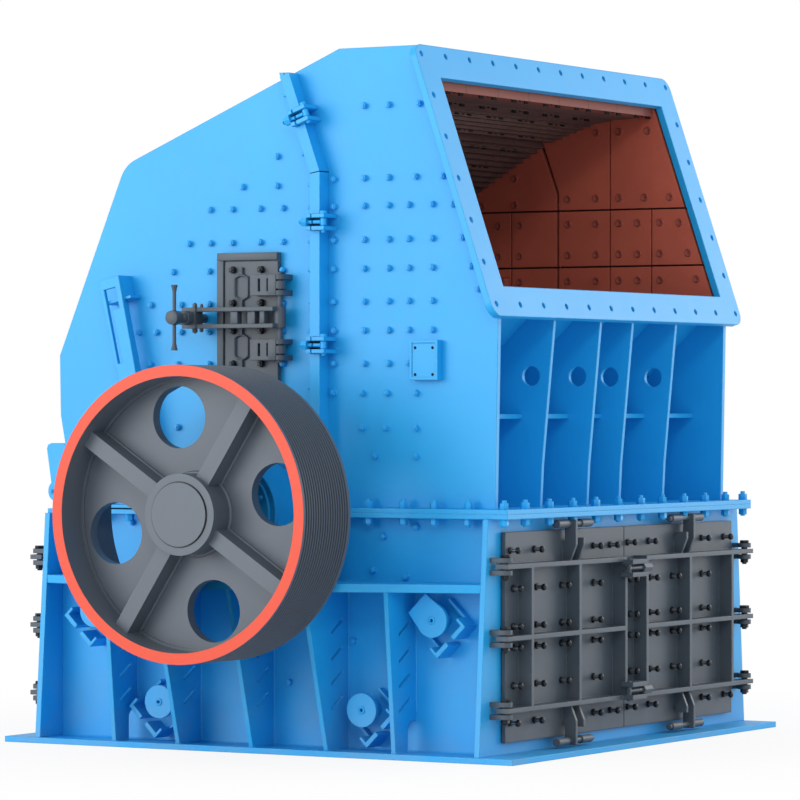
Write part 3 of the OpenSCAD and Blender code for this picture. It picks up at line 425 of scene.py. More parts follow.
class Piece:
    """Small parts drawn in millimetres, kept as one object."""

    def __init__(self, name):
        self.name, self.mesh = name, bmesh.new()

    def spin(self, profile, start, toward, sides=20, turn=0.0):
        """Turns (radius, height) pairs about the line from start along toward."""
        lie = Vector(toward).to_track_quat("Z", "X").to_matrix().to_4x4()
        place = Matrix.Translation(start) @ lie @ Matrix.Rotation(turn, 4, "Z")
        rings = []
        for radius, height in profile:
            angles = [2 * math.pi * k / sides for k in range(sides if radius else 1)]
            rings.append([self.mesh.verts.new(place @ Vector(
                (radius * math.cos(a), radius * math.sin(a), height))) for a in angles])
        for low, high in zip(rings, rings[1:]):
            for k in range(sides):
                corners = (low[k % len(low)], low[(k + 1) % len(low)],
                           high[(k + 1) % len(high)], high[k % len(high)])
                self.mesh.faces.new(list(dict.fromkeys(corners)))

    def rod(self, start, end, radius, edge=1.0, sides=20):
        """A round bar with a small chamfer on both ends."""
        axis = Vector(end) - Vector(start)
        length = axis.length
        self.spin([(0, 0), (radius - edge, 0), (radius, edge), (radius, length - edge),
                   (radius - edge, length), (0, length)], start, axis, sides)

    def block(self, low, high, edge=2.0, place=None):
        """A box from corner to corner with its edges broken."""
        low, high = Vector(low), Vector(high)
        made = bmesh.ops.create_cube(self.mesh, size=1.0)["verts"]
        shape = Matrix.Translation((low + high) / 2) @ Matrix.Diagonal((*(high - low), 1.0))
        bmesh.ops.transform(self.mesh, matrix=shape, verts=made)
        if edge:
            lines = list({line for v in made for line in v.link_edges})
            made = bmesh.ops.bevel(self.mesh, geom=lines, offset=edge, segments=2,
                                   profile=0.5, affect="EDGES")["verts"]
        if place is not None:
            bmesh.ops.transform(self.mesh, matrix=place, verts=list(set(made)))

    def slab(self, outline, low_y, high_y, place=None):
        """A plate cut to an outline of (x, z) corners, between two depths."""
        ends = [[self.mesh.verts.new((place or Matrix()) @ Vector((x, y, z))) for x, z in outline]
                for y in (low_y, high_y)]
        count = len(outline)
        for k in range(count):
            after = (k + 1) % count
            self.mesh.faces.new((ends[0][k], ends[0][after], ends[1][after], ends[1][k]))
        self.mesh.faces.new(ends[0])
        self.mesh.faces.new(ends[1][::-1])

    def tube(self, points, radius, sides=8, closed=False):
        """A round line through points; radius is a number or one number a point."""
        points = [Vector(p) for p in points]
        count = len(points)
        radii = radius if isinstance(radius, (list, tuple)) else [radius] * count
        side, rings = None, []
        for k, point in enumerate(points):
            before = points[k - 1] if (k or closed) else point
            after = points[(k + 1) % count] if (k + 1 < count or closed) else point
            along = (after - before).normalized()
            if side is None:
                side = along.orthogonal().normalized()
            side = (side - along * side.dot(along)).normalized()
            across = along.cross(side)
            rings.append([self.mesh.verts.new(
                point + radii[k] * (side * math.cos(a) + across * math.sin(a)))
                for a in (2 * math.pi * j / sides for j in range(sides))])
        pairs = list(zip(rings, rings[1:])) + ([(rings[-1], rings[0])] if closed else [])
        for low, high in pairs:
            for j in range(sides):
                self.mesh.faces.new((low[j], low[(j + 1) % sides],
                                     high[(j + 1) % sides], high[j]))
        if not closed:
            self.mesh.faces.new(list(reversed(rings[0])))
            self.mesh.faces.new(rings[-1])

    def done(self, body, material, slot):
        """Shades, scales to metres and fixes the piece to its body."""
        bmesh.ops.recalc_face_normals(self.mesh, faces=self.mesh.faces)
        for face in self.mesh.faces:
            face.smooth = True
        for line in self.mesh.edges:
            if len(line.link_faces) == 2 and line.calc_face_angle() > CREASE:
                line.smooth = False
        bmesh.ops.scale(self.mesh, vec=METRES, verts=self.mesh.verts)
        data = bpy.data.meshes.new(self.name)
        self.mesh.to_mesh(data)
        self.mesh.free()
        data.materials.append(material)
        thing = bpy.data.objects.new(self.name, data)
        bpy.context.scene.collection.objects.link(thing)
        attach(thing, body)
        print(f"{self.name}: {len(data.polygons)} faces on {body}")


SIDES = (-1, 1)
UP, DOWN, BACK = (0, 0, 1), (0, 0, -1), (-1, 0, 0)

# %% [markdown]
# ## A bolt that has been tightened
#
# What shows of a tight bolt is a washer, a hexagon nut with its corners turned
# off, and the end of the stud. Each is one spun profile; a hexagon is a spin in
# six steps. Nuts are never lined up, so every one takes its own angle.

# %% Nut, washer and stud end
def bolt(piece, at, out, across=24.0, stud=5.0, turn=0.0):
    """A washer, a nut of a width across its flats, and a stud end, from at outward."""
    corner, nut = across / math.sqrt(3), 2.0 + across * 0.75
    washer, shank, tip = corner * 1.08, across * 0.31, nut + stud
    piece.spin([(0, 0), (washer, 0), (washer, 1.5), (washer - 0.8, 2), (0, 2)], at, out, 24)
    piece.spin([(0, 2), (corner * 0.96, 2), (corner, 3), (corner, nut - 2),
                (corner * 0.90, nut), (0, nut)], at, out, 6, turn)
    piece.spin([(0, nut), (shank, nut), (shank, tip - 1.5), (shank * 0.8, tip), (0, tip)],
               at, out, 16)


def bolts(piece, places, out, **kinds):
    """A bolt at every place, each nut turned a little further than the last."""
    for k, at in enumerate(places):
        bolt(piece, at, out, turn=0.61 * k, **kinds)


print("bolt ready")

# %% [markdown]
# ## Liner bolts on the side walls
#
# The wear plates inside are held by bolts whose nuts stand outside, in rows that
# follow the plates. A row is a height and the positions along the wall, and each
# wall repeats it. The same list places the bolt heads inside later.

# %% Rows of nuts on the walls
HALF_WIDTH = 1070.0
FULL_ROW = (314, 462, 582, 680, 794)
FRONT_ROWS = {2743: (462, 582, 731), 2437: (314, 462, 582, 714), 2320: FULL_ROW,
              2177: FULL_ROW, 2055: FULL_ROW, 1916: FULL_ROW, 1794: FULL_ROW,
              1654: FULL_ROW[:4], 1529: (309, 452, 575, 716), 1382: (452, 568, 716),
              1264: (516, 716)}
FRONT_EDGE = ((845, 2436), (893, 2317), (938, 2177), (981, 2057), (1015, 1961))
REAR_ROWS = {2541: (29,), 2415: (-146, 29), 2320: (-312, -199, -57, 57),
             2176: (-420, -310, -199, -57, 57), 2055: (-503, -317, 57),
             1913: (-618, -462, -317, 55), 1794: (-680, -591, -462, -317, 55),
             1655: (-620, -480, -317, 57), 1529: (-760, -620, -317, -190, -57, 57),
             1382: (-760, -620, -480, 57)}
HATCH_ROWS = dict.fromkeys((2057, 1916, 1795, 1650), (-189, -41))
HALF_BAND = ((558, 926), (718, 967), (508, 782), (665, 756))
BAND = [(side * x, z) for side in (1, -1) for x, z in HALF_BAND]


def spots(rows):
    """A list of (x, z) from a table of rows."""
    return [(x, z) for z, xs in rows.items() for x in xs]


FRONT_SPOTS = spots(FRONT_ROWS) + list(FRONT_EDGE)


def wall_nuts(name, body, places, sides=SIDES):
    piece = Piece(name)
    for side in sides:
        bolts(piece, [(x, side * HALF_WIDTH, z) for x, z in places], (0, side, 0))
    piece.done(body, blue_fittings, "blue_paint")


wall_nuts("front_wall_nuts", "frame", FRONT_SPOTS)
wall_nuts("rear_wall_nuts", "rear_housing", spots(REAR_ROWS))
wall_nuts("rear_wall_nuts_far", "rear_housing", spots(HATCH_ROWS), sides=(1,))
wall_nuts("lower_wall_nuts", "frame", BAND)

# %% [markdown]
# ## Bolts of the split
#
# The upper housings are bolted down on the lower frame through two thick
# flanges. Heads stand on top and nuts hang below. Over the tipping rear half the
# heads belong to the housing and the nuts to the frame, so each rides its own.

# %% Bolts through the split flanges
SPLIT_TOP, SPLIT_LOW = 1045.0, 1005.0
SPLIT_X, SPLIT_Y = 1165, 1120
END_YS = [s * y for s in SIDES for y in (105, 315, 525, 735, 945, 1125)]
SIDE_XS = (508, 679, 829, 992)
REAR_XS = (-380, -540, -700, -860, -980)


FRONT_SPLIT = [(SPLIT_X, y) for y in END_YS] + [(x, s * SPLIT_Y) for x in SIDE_XS for s in SIDES]
REAR_SPLIT = [(x, s * SPLIT_Y) for x in REAR_XS for s in SIDES]


def split_bolts(name, body, places, z, out, stud):
    piece = Piece(name)
    bolts(piece, [(x, y, z) for x, y in places], out, across=34, stud=stud)
    piece.done(body, blue_fittings, "blue_paint")


split_bolts("split_bolts_top", "frame", FRONT_SPLIT, SPLIT_TOP, UP, 12)
split_bolts("split_bolts_below", "frame", FRONT_SPLIT + REAR_SPLIT, SPLIT_LOW, DOWN, 6)
split_bolts("split_bolts_rear", "rear_housing", REAR_SPLIT, SPLIT_TOP, UP, 12)

# %% [markdown]
# ## Bolt heads on the wear plates
#
# Inside, each of those nuts ends in a round bolt head that sits in a dished seat of
# the wear plate. The seat is painted darker than the liner, as painted shade of its
# hollow. The plates start above the rotor, and the feed chute cuts them off on a slope,
# so positions below that line are left out.

# %% Round heads on the liners
LINED, LINER_LOW, LINER_THICK = 1020.0, 1485.0, 24
CHUTE = ((547.0, 1532.0), (1077.0, 2010.0))
DISHED_SEAT = [(0, 0.8), (6.5, 0.8), (14, 6), (15.5, 6), (19, 0)]
PATCH_XS, PATCH_ZS = (-210.5, -1.5), (1630, 2074)


def on_liner(x, z):
    """Whether a place lies above both the rotor's space and the slope of the chute."""
    (x0, z0), (x1, z1) = CHUTE
    return z > max(LINER_LOW, z0 + (x - x0) * (z1 - z0) / (x1 - x0))


def liner_heads(name, body, places, sides=SIDES):
    piece = Piece(name)
    for side in sides:
        for x, z in places:
            if on_liner(x, z):
                piece.spin(DISHED_SEAT, (x, side * LINED, z), (0, -side, 0), 24)
    # Each seat takes the darker primer that paints the shade of its hollow.
    piece.done(body, shaded_seats, "wear_liner")


liner_heads("liner_heads_front", "frame", FRONT_SPOTS)
liner_heads("liner_heads_rear", "rear_housing", spots(REAR_ROWS))
liner_heads("liner_heads_far_patch", "rear_housing", spots(HATCH_ROWS), sides=(1,))


def far_liner_patch():
    """The far wall has no hatch, so one liner closes the place where it would be."""
    piece = Piece("far_liner_patch")
    piece.block((PATCH_XS[0], LINED, PATCH_ZS[0]),
                (PATCH_XS[1], LINED + LINER_THICK, PATCH_ZS[1]), 1.5)
    piece.done("rear_housing", liner, "wear_liner")


far_liner_patch()

# %% [markdown]
# ## Pockets in the aprons
#
# The blocks of an apron are pulled up by two bolts each, which sit in square
# pockets with a small hole between them. Each pocket and hole is painted shade: a thin
# dull black block just proud of the face. The stepped face isn't flat, so each
# pocket is placed by casting a ray at the imported mesh: down the length of the
# mouth for the risers, and straight up for the plain first stretch.

# %% Find the stepped face and set the pockets into it
def hit(node, start, toward):
    """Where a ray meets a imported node, in millimetres."""
    found, at = frame["nodes"][node].ray_cast(Vector(start) / 1000.0, Vector(toward))[:2]
    return at * 1000.0 if found else None


SQUARE, APART, DOWEL = 19.0, 56.0, 5.0
TRIO = ((-APART, SQUARE), (0, DOWEL), (APART, SQUARE))
FLAT_POCKETS = ((750.0, 56.0), (528.0, 168.0))
FRONT_RISERS = ((2765.0, 420.0, 168.0), (2714.0, 270.0, 160.0))
FIRST_RISERS = ((2656.0, 190.0, 160.0),)
LOW_RISERS, LOW_START = (13.0, -95.0), 160.0
POCKET_REACH, POCKET_HALF_Z = 960.0, 7
BLOCK_MM, UNDER = 290.0, 2000


def pocket_ys(start):
    """Places along the shaft: one every block, both ways from start."""
    places = [start + BLOCK_MM * k for k in range(-5, 5)]
    return [y for y in places if abs(y) < POCKET_REACH]


def flat_pockets(piece, node, x, start):
    """Painted shade of pockets in a level face that is seen from below."""
    face = hit(node, (x, 0, UNDER), UP).z
    for y in pocket_ys(start):
        for across, half in TRIO:
            piece.block((x - 3, y + across - half, face - 2 - 0.5 * half),
                        (x + 3, y + across + half, face + 2), 0.5)


def riser_pockets(piece, node, z, x, start):
    """Painted shade of pockets in the upright face that lies behind x at height z."""
    face = hit(node, (x + 200, 0, z), BACK).x
    print(node, "riser at", round(face), "for height", z)
    for y in pocket_ys(start):
        for across, half in TRIO:
            half_z = min(half, POCKET_HALF_Z)
            piece.block((face - 2, y + across - half, z - half_z),
                        (face + 1.5, y + across + half, z + half_z), 0.5)


def apron_pockets():
    front, first = Piece("front_apron_pocket_shade"), Piece("first_apron_pocket_shade")
    for x, start in FLAT_POCKETS:
        flat_pockets(front, "front_apron", x, start)
    for z, x, start in FRONT_RISERS:
        riser_pockets(front, "front_apron", z, x, start)
    for z, x, start in FIRST_RISERS:
        riser_pockets(first, "first_apron", z, x, start)
    for x in LOW_RISERS:
        z = hit("first_apron", (x, 0, UNDER), UP).z - 5
        riser_pockets(first, "first_apron", z, x + 100, LOW_START)
    # Both pieces take the dull black of painted shade.
    front.done("frame", shade, "wear_liner")
    first.done("rear_housing", shade, "wear_liner")


apron_pockets()

# %% [markdown]
# ## Bolts of the end doors
#
# The door leaves carry long black bolts that hold wear plates on their inner side:
# a nut on the door, a bright shank, and a round knob of a head. The feed doors and
# the rear doors are alike, so two tables of positions serve all four leaves.

# %% Long bolts on the door leaves
DOOR_FACE = 1137.0
DRIVE_LEAF = ([(y, z) for y in (-1005, -803, -582, -290) for z in (715, 557, 469, 311)]
              + [(y, z) for y in (-1028, -820, -290, -135) for z in (874, 157)])
FAR_LEAF = ([(y, z) for y in (48, 245, 455, 752) for z in (719, 566, 475, 317)]
            + [(y, z) for y in (30, 228, 752, 975) for z in (880, 162)])
DOOR_NUT = [(0, 0), (14, 0), (15.5, 1.5), (15.5, 9), (14, 11), (0, 11)]
DOOR_KNOB = [(0, 33), (12, 33), (14, 35), (14.5, 43), (12.5, 48), (7, 51), (0, 52)]
DOOR_SHANK = [(0, 10), (8.5, 10), (8.5, 34), (0, 34)]


def door_bolts(name, body, end, places):
    knobs, shanks = Piece(name + "_knobs"), Piece(name + "_shanks")
    for k, (y, z) in enumerate(places):
        at, out = (end * DOOR_FACE, y, z), (end, 0, 0)
        knobs.spin(DOOR_NUT, at, out, 6, 0.7 * k)
        knobs.spin(DOOR_KNOB, at, out, 20)
        shanks.spin(DOOR_SHANK, at, out, 16)
    knobs.done(body, black, "grey_paint")
    shanks.done(body, steel, "bare_steel")


for end_name, end in (("feed", 1), ("rear", -1)):
    door_bolts(f"{end_name}_door_drive_bolts", f"{end_name}_door_drive_side", end, DRIVE_LEAF)
    door_bolts(f"{end_name}_door_far_bolts", f"{end_name}_door_far_side", end, FAR_LEAF)

# %% [markdown]
# ## Hinge pins of the doors
#
# Each hinge pin drops through its fork from above. It shows a hexagon head on top
# and a castle nut with a split pin below.

# %% Heads and nuts of the hinge pins
HINGE_X, HINGE_Y = 1172.0, 1128.0
HINGE_ZS = (214.5, 512.5, 810.5)
FORK_HALF, SPLIT_PIN_DROP = 36.0, 21
PIN_HEAD = [(0, 0), (21, 0), (22, 1.5), (22, 11), (20, 13), (0, 13)]
PIN_WASHER = [(0, 0), (20, 0), (20, 3), (0, 3)]
PIN_NUT = [(0, 3), (18, 3), (19, 5), (19, 15), (17, 17), (11, 18), (11, 24), (0, 24)]


def hinge_ends():
    piece = Piece("door_hinge_ends")
    for x, y in [(end * HINGE_X, side * HINGE_Y) for end in SIDES for side in SIDES]:
        for k, z in enumerate(HINGE_ZS):
            top, foot = (x, y, z + FORK_HALF), (x, y, z - FORK_HALF)
            split_pin_z = z - FORK_HALF - SPLIT_PIN_DROP
            piece.spin(PIN_HEAD, top, UP, 6, 0.4 * k)
            piece.spin(PIN_WASHER, foot, DOWN, 24)
            piece.spin(PIN_NUT, foot, DOWN, 6, 0.9 * k)
            piece.rod((x, y - 17, split_pin_z), (x, y + 17, split_pin_z), 2.2, 0.6, 8)
    piece.done("frame", black, "grey_paint")


hinge_ends()

# %% [markdown]
# ## The clamps on the housing joint
#
# An eye bolt swings on a pin in the front fork and its nut bears on the rear fork.
# In service the nut is slackened and the bolt swung aside before the housing tips.
# Here the bolt is drawn in two halves that meet at the joint, so that the rear
# half and its nut leave with the housing. The top clamp leans with the joint.

# %% Pins, eye bolts and nuts of the clamps
JOINT_X, KINK_Z, LEAN = 260.0, 2464.0, math.radians(19.9)
CLAMP_ZS = (1732.0, 2253.0)
CLAMP_Y, PIN_X = 1160.0, 311.0
LEAN_UP = 250.0
LEAN_AT = (JOINT_X - LEAN_UP * math.sin(LEAN), 0, KINK_Z + LEAN_UP * math.cos(LEAN))
leaning = (Matrix.Translation(LEAN_AT) @ Matrix.Rotation(-LEAN, 4, "Y")
           @ Matrix.Translation((-JOINT_X, 0, 0)))
CLAMP_PLACES = [Matrix.Translation((0, 0, z)) for z in CLAMP_ZS] + [leaning]
CLAMP_PIN = [(0, 0), (8, 0), (9, 1.5), (9, 79), (14, 80), (15, 82), (15, 90), (13, 93), (0, 93)]
CLAMP_EYE = [(0, 0), (11, 0), (13, 2), (13, 28), (11, 30), (0, 30)]
FRONT_SHANK = [(0, 0), (9, 0), (9, 35), (0, 35)]
REAR_SHANK = [(0, 0), (9, 0), (9, 60), (7.5, 62), (0, 62)]
CLAMP_WASHER = [(0, 0), (22, 0), (23, 1), (23, 4), (0, 4)]
CLAMP_NUT = [(0, 0), (19, 0), (20, 1), (20, 25), (19, 26), (0, 26)]
CLAMP_STUD = [(0, 26), (9, 26), (9, 36), (7.5, 38), (0, 38)]


def turned(place, start, toward):
    """A start point and a direction, carried along by a placing matrix."""
    return place @ Vector(start), place.to_3x3() @ Vector(toward)


def joint_clamps():
    front, rear = Piece("clamp_pins"), Piece("clamp_nuts")
    for y in [side * CLAMP_Y for side in SIDES]:
        for place in CLAMP_PLACES:
            front.spin(CLAMP_PIN, *turned(place, (PIN_X, y, -46), UP))
            front.spin(CLAMP_EYE, *turned(place, (PIN_X, y, -15), UP), 24)
            front.spin(FRONT_SHANK, *turned(place, (PIN_X - 12, y, 0), BACK), 16)
            rear.spin(REAR_SHANK, *turned(place, (JOINT_X - 4, y, 0), BACK), 16)
            rear.spin(CLAMP_WASHER, *turned(place, (JOINT_X - 24, y, 0), BACK), 24)
            nut_seat = turned(place, (JOINT_X - 28, y, 0), BACK)
            rear.spin(CLAMP_NUT, *nut_seat, 6, 0.52)
            rear.spin(CLAMP_STUD, *nut_seat, 16)
    front.done("frame", blue_fittings, "blue_paint")
    rear.done("rear_housing", blue_fittings, "blue_paint")


joint_clamps()

# %% [markdown]
# ## Strip and bolts along the joint
#
# A flat cover strip hides the gap between the two flanges. It is fixed to the front
# one, is mitred at the kink and stops short of each clamp fork. Thin dull black pieces
# are painted shade: in the gap at the kink, in a slot across the flange's side there,
# and in the recess at each clamp fork. Small nuts stand on the rear flange.

# %% Cover strip and nuts along the joint
JOINT_ZS = (2412, 2315, 2170, 2051, 1916, 1792, 1551)
JOINT_Y = 1118.0
FRONT_FACE_X, REAR_FACE_X = 284.0, 236.0
LEAN_STEPS = (-150.0, 120.0)
STRIP_Y = (1145.0, 1148.0)
STRIP_LOW, LEAN_END = 1060.0, 196.0
FORK_OUT, FORK_IN = 37.0, 16.0
MITRE = (FRONT_FACE_X - JOINT_X) * math.tan(LEAN / 2)
KINK_GAP, KINK_SLOT = 4, 1.8


def kink_band(low, low_cut, high, high_cut, proud=0):
    """The outline of a stretch between the flange faces, mitred at its ends."""
    return [(REAR_FACE_X, low - low_cut), (FRONT_FACE_X + proud, low + low_cut),
            (FRONT_FACE_X + proud, high + high_cut), (REAR_FACE_X, high - high_cut)]


def joint_strip():
    strip, recess_shade = Piece("joint_strip"), Piece("joint_recess_shade")
    upright = Matrix.Identity(4)
    runs = [(upright, STRIP_LOW, 0, CLAMP_ZS[0] - FORK_OUT, 0),
            (upright, CLAMP_ZS[0] + FORK_OUT, 0, CLAMP_ZS[1] - FORK_OUT, 0),
            (upright, CLAMP_ZS[1] + FORK_OUT, 0, KINK_Z - 2, MITRE),
            (leaning, 2 - LEAN_UP, -MITRE, -FORK_OUT, 0), (leaning, FORK_OUT, 0, LEAN_END, 0)]
    for side in SIDES:
        near_y, far_y = sorted(side * y for y in STRIP_Y)
        for place, *run in runs:
            strip.slab(kink_band(*run), near_y, far_y, place)
        # Painted shade: dull black pieces in the gap at the kink, across the flange's side, and
        # between each clamp fork.
        recess_shade.slab(kink_band(KINK_Z - KINK_GAP, MITRE, KINK_Z + KINK_GAP, MITRE, proud=1),
                    near_y + (side < 0) * 1.2, far_y - (side > 0) * 1.2)
        inner_y, outer_y = sorted((side * (HALF_WIDTH + 2), side * STRIP_Y[1]))
        recess_shade.block((FRONT_FACE_X - 1, inner_y, KINK_Z + MITRE - KINK_SLOT),
                     (FRONT_FACE_X + 1, outer_y, KINK_Z + MITRE + KINK_SLOT), 0)
        for place in CLAMP_PLACES:
            recess_shade.block((REAR_FACE_X + 1, near_y, -FORK_IN),
                         (FRONT_FACE_X - 1, far_y, FORK_IN), 0, place)
    strip.done("frame", blue_fittings, "blue_paint")
    recess_shade.done("frame", shade, "blue_paint")


joint_strip()


def joint_bolts():
    """Nuts on the rear flange, upright and on the leaning stretch."""
    nuts = Piece("joint_bolt_nuts")
    places = [Matrix.Translation((0, 0, z)) for z in JOINT_ZS]
    places += [leaning @ Matrix.Translation((0, 0, step)) for step in LEAN_STEPS]
    for side in SIDES:
        for k, place in enumerate(places):
            at, out = turned(place, (REAR_FACE_X, side * JOINT_Y, 0), BACK)
            bolt(nuts, at, out, across=22, stud=7, turn=0.8 * k)
    nuts.done("rear_housing", blue_fittings, "blue_paint")


joint_bolts()

# %% [markdown]
# ## The inspection hatch
#
# The hatch has eight bolts, a rim along two edges, and two lifting handles bent
# from round bar into long hexagons with a stem at each end. Its screw clamp
# carries a thread and an eight-sided lock nut; four short bolts hold its block.

# %% Bolts and handles of the hatch
HATCH_FACE = -1100.0
HANDLES, HANDLE_X, STEM_X = (1983.0, 1727.0), -133.0, -130.0
LOOP_CORNER = ((13, 51), (20, 46), (31, 42), (34, 34))
HATCH_XS, HATCH_ZS = (-258.5, 46.5), (1572.0, 2132.0)
HATCH_BOLT_XS, HATCH_BOLT_ZS = (-177, -34), (2058, 1916, 1797, 1655)
RIM, RIM_Y = 33.0, (-1108.0, -1089.0)
STRAP_ZS, STRAP_END_XS, STRAP_END_YS = (1714.0, 1990.0), (34, 73), (-1161, -1158)


def hatch_handle(piece, z):
    """A long loop round height z, with a stem at each end that turns in to the plate."""
    y = HATCH_FACE - 9
    left = [(-x, up) for x, up in LOOP_CORNER] + [(-x, -up) for x, up in LOOP_CORNER[::-1]]
    loop = left + [(-x, up) for x, up in left[::-1]]
    piece.tube([(HANDLE_X + x, y, z + up) for x, up in loop], 4.6, 10, closed=True)
    for end in SIDES:
        piece.rod((STEM_X, y, z + end * 50), (STEM_X, y, z + end * 86), 5.5, 1.5, 12)
        piece.rod((STEM_X, y, z + end * 80), (STEM_X, HATCH_FACE, z + end * 80), 5.5, 0.5, 12)


def hatch_fittings():
    piece = Piece("hatch_handles")
    for z in HANDLES:
        hatch_handle(piece, z)
    (low_x, high_x), (low_z, high_z) = HATCH_XS, HATCH_ZS
    piece.block((low_x + 0.5, RIM_Y[0], low_z + 0.5),
                (low_x + RIM, RIM_Y[1], high_z - RIM - 2), 1.5)
    piece.block((low_x + 0.5, RIM_Y[0], high_z - RIM),
                (high_x - 0.5, RIM_Y[1], high_z - 0.5), 1.5)
    for z in STRAP_ZS:
        piece.block((STRAP_END_XS[0], STRAP_END_YS[0], z - 45),
                    (STRAP_END_XS[1], STRAP_END_YS[1], z + 45), 0.8)
    piece.done("hatch", grey_fittings, "grey_paint")
    heads = Piece("hatch_bolts")
    bolts(heads, [(x, HATCH_FACE, z) for x in HATCH_BOLT_XS for z in HATCH_BOLT_ZS],
          (0, -1, 0), across=26, stud=7)
    heads.done("hatch", black, "grey_paint")


hatch_fittings()

# %% The screw clamp of the hatch
SCREW_X, SCREW_Z = -345.0, 1852.0
THREADS, PITCH, THREAD_START = 6, 6, -1282
THREAD = ((20.2, 0.5), (22.4, 3), (22.4, 4), (20.2, 6.5))
CROSS_HUB = [(0, -1334), (24, -1334), (28, -1332), (30.6, -1328), (30.6, -1290),
             (28, -1286), (22, -1284), (0, -1284)]
LOCK_NUT = [(0, -1244), (30, -1244), (33, -1241), (33, -1212), (30, -1209), (0, -1209)]
LOCK_COLLAR = [(0, -1209), (29, -1209), (29, -1198), (0, -1198)]
CROSS_BLOCKS = ((-141, -105), (-32, -18), (8, 30))


def hatch_clamp():
    axis = (SCREW_X, 0, SCREW_Z), (0, 1, 0)
    thread, block = Piece("clamp_thread"), Piece("clamp_lock_nut")
    ridges = [(radius, THREAD_START + PITCH * k + y)
              for k in range(THREADS) for radius, y in THREAD]
    thread.spin([(0, THREAD_START)] + ridges + [(0, -1245)], *axis, 24)
    thread.spin(CROSS_HUB, *axis, 28)
    thread.done("clamp_screw", grey_fittings, "grey_paint")
    block.spin(LOCK_NUT, *axis, 8, math.pi / 8)
    block.spin(LOCK_COLLAR, *axis, 28)
    for end in SIDES:
        for x, across, stud in ((12, 20, 4), (46, 15, 3)):
            bolt(block, (SCREW_X + x, -1166, SCREW_Z + end * 45), (0, 0, end), across, stud)
    for low_x, high_x in CROSS_BLOCKS:
        block.block((low_x, -1184, SCREW_Z - 26), (high_x, -1148, SCREW_Z + 26), 1.0)
    block.done("hatch_clamp", grey_fittings, "grey_paint")


hatch_clamp()

# %% [markdown]
# ## Bearings
#
# The shaft runs in two large split-foot bearings. Each face has a bolted cover
# with a labyrinth ring; the far end of the shaft is closed by a domed cap.

# %% Covers, foot bolts and grease nipples
BEARING_IN, BEARING_OUT, FOOT_TOP = 1151.0, 1391.0, 795.0
AXIS_Z, FOOT_XS, FOOT_YS = 1025.0, (-250, 250), (1196, 1346)
NIPPLE_AT, COVER_BOLTS, COVER_BOLT_R = (1271, AXIS_Z + 213), 8, 166
COVER_RIM = [(190, 0), (193, 3), (193, 12), (190, 15), (140, 15)]
COVER_RING = [(112, 0)] + COVER_RIM + [(137, 20), (116, 20), (112, 18), (112, 0)]
COVER_CAP = [(0, 0)] + COVER_RIM + [(134, 27), (120, 33), (0, 34)]
NIPPLE = [(0, 0), (9, 0), (9, 6), (5, 8), (4, 14), (5.5, 16), (5.5, 19), (0, 20)]


def ring_bolts(piece, y, out):
    for k in range(COVER_BOLTS):
        a = 2 * math.pi * (k + 0.5) / COVER_BOLTS
        bolt(piece, (COVER_BOLT_R * math.cos(a), y, AXIS_Z + COVER_BOLT_R * math.sin(a)),
             (0, out, 0), across=20, turn=a)


def bearing_covers():
    piece = Piece("bearing_covers")
    for side in SIDES:
        outer = COVER_CAP if side > 0 else COVER_RING
        piece.spin(outer, (0, side * BEARING_OUT, AXIS_Z), (0, side, 0), 64)
        piece.spin(COVER_RING, (0, side * BEARING_IN, AXIS_Z), (0, -side, 0), 64)
        ring_bolts(piece, side * (BEARING_OUT + 12.5), side)
        ring_bolts(piece, side * (BEARING_IN - 15), -side)
        for x in FOOT_XS:
            for y in FOOT_YS:
                bolt(piece, (x, side * y, FOOT_TOP), UP, across=41, stud=10, turn=0.2 * x)
        piece.spin(NIPPLE, (0, side * NIPPLE_AT[0], NIPPLE_AT[1]), UP, 6)
    piece.done("frame", blue_fittings, "blue_paint")


bearing_covers()

# %% [markdown]
# ## Hub and spokes of the sheave
#
# The sheave is a casting, so no inside corner is sharp: a fillet runs along each
# spoke and round the hub. A clamping disc closes the hub; the thin gap round it is a
# black ring of painted shade. Fillets are tubes sunk half into the corner.

# %% Fillets and the end disc of the hub
CORNER_Y, HUB_R, HUB_FRONT = -1666.0, 170.0, -1795.0
SPOKE_HALF, SPOKE_END, FIRST_SPOKE = 35.0, 558.0, 57
HUB_DISC = [(0, -7), (133, -7), (133, -5), (131, -2), (128, 0), (0, 0)]
HUB_GAP = [(132, 0), (132, -0.8), (138, -0.8), (138, 0)]


def sheave_details():
    casting, gap_shade_ring = Piece("sheave_fillets"), Piece("hub_gap_shade")
    middle = Vector((0, CORNER_Y, AXIS_Z))
    turns = [2 * math.pi * k / 72 for k in range(72)]
    casting.tube([middle + Vector((math.cos(a), 0, math.sin(a))) * (HUB_R + 1) for a in turns],
                 11, 10, closed=True)
    for k in range(4):
        a = math.radians(90 * k + FIRST_SPOKE)
        along = Vector((math.cos(a), 0, math.sin(a)))
        across = Vector((-math.sin(a), 0, math.cos(a)))
        for edge in SIDES:
            start = middle + across * edge * (SPOKE_HALF + 1)
            casting.tube([start + along * r for r in (HUB_R - 6, 300, 430, SPOKE_END)], 9, 10)
    casting.spin(HUB_DISC, (0, HUB_FRONT, AXIS_Z), (0, 1, 0), 64)
    casting.done("rotor", sheave_paint, "sheave_paint")
    # Painted shade: a thin black ring stands for the gap round the disc.
    gap_shade_ring.spin(HUB_GAP, (0, HUB_FRONT, AXIS_Z), (0, 1, 0), 64)
    gap_shade_ring.done("rotor", black, "sheave_paint")


sheave_details()

# %% [markdown]
# ## Small fittings on the walls
#
# The cover box is held by four countersunk screws, drawn in dull black as painted
# shade of their holes; two plugs close holes of the lower wall, each adjuster turns on
# a centre screw, and a keeper plate holds each end of the rear pivot.

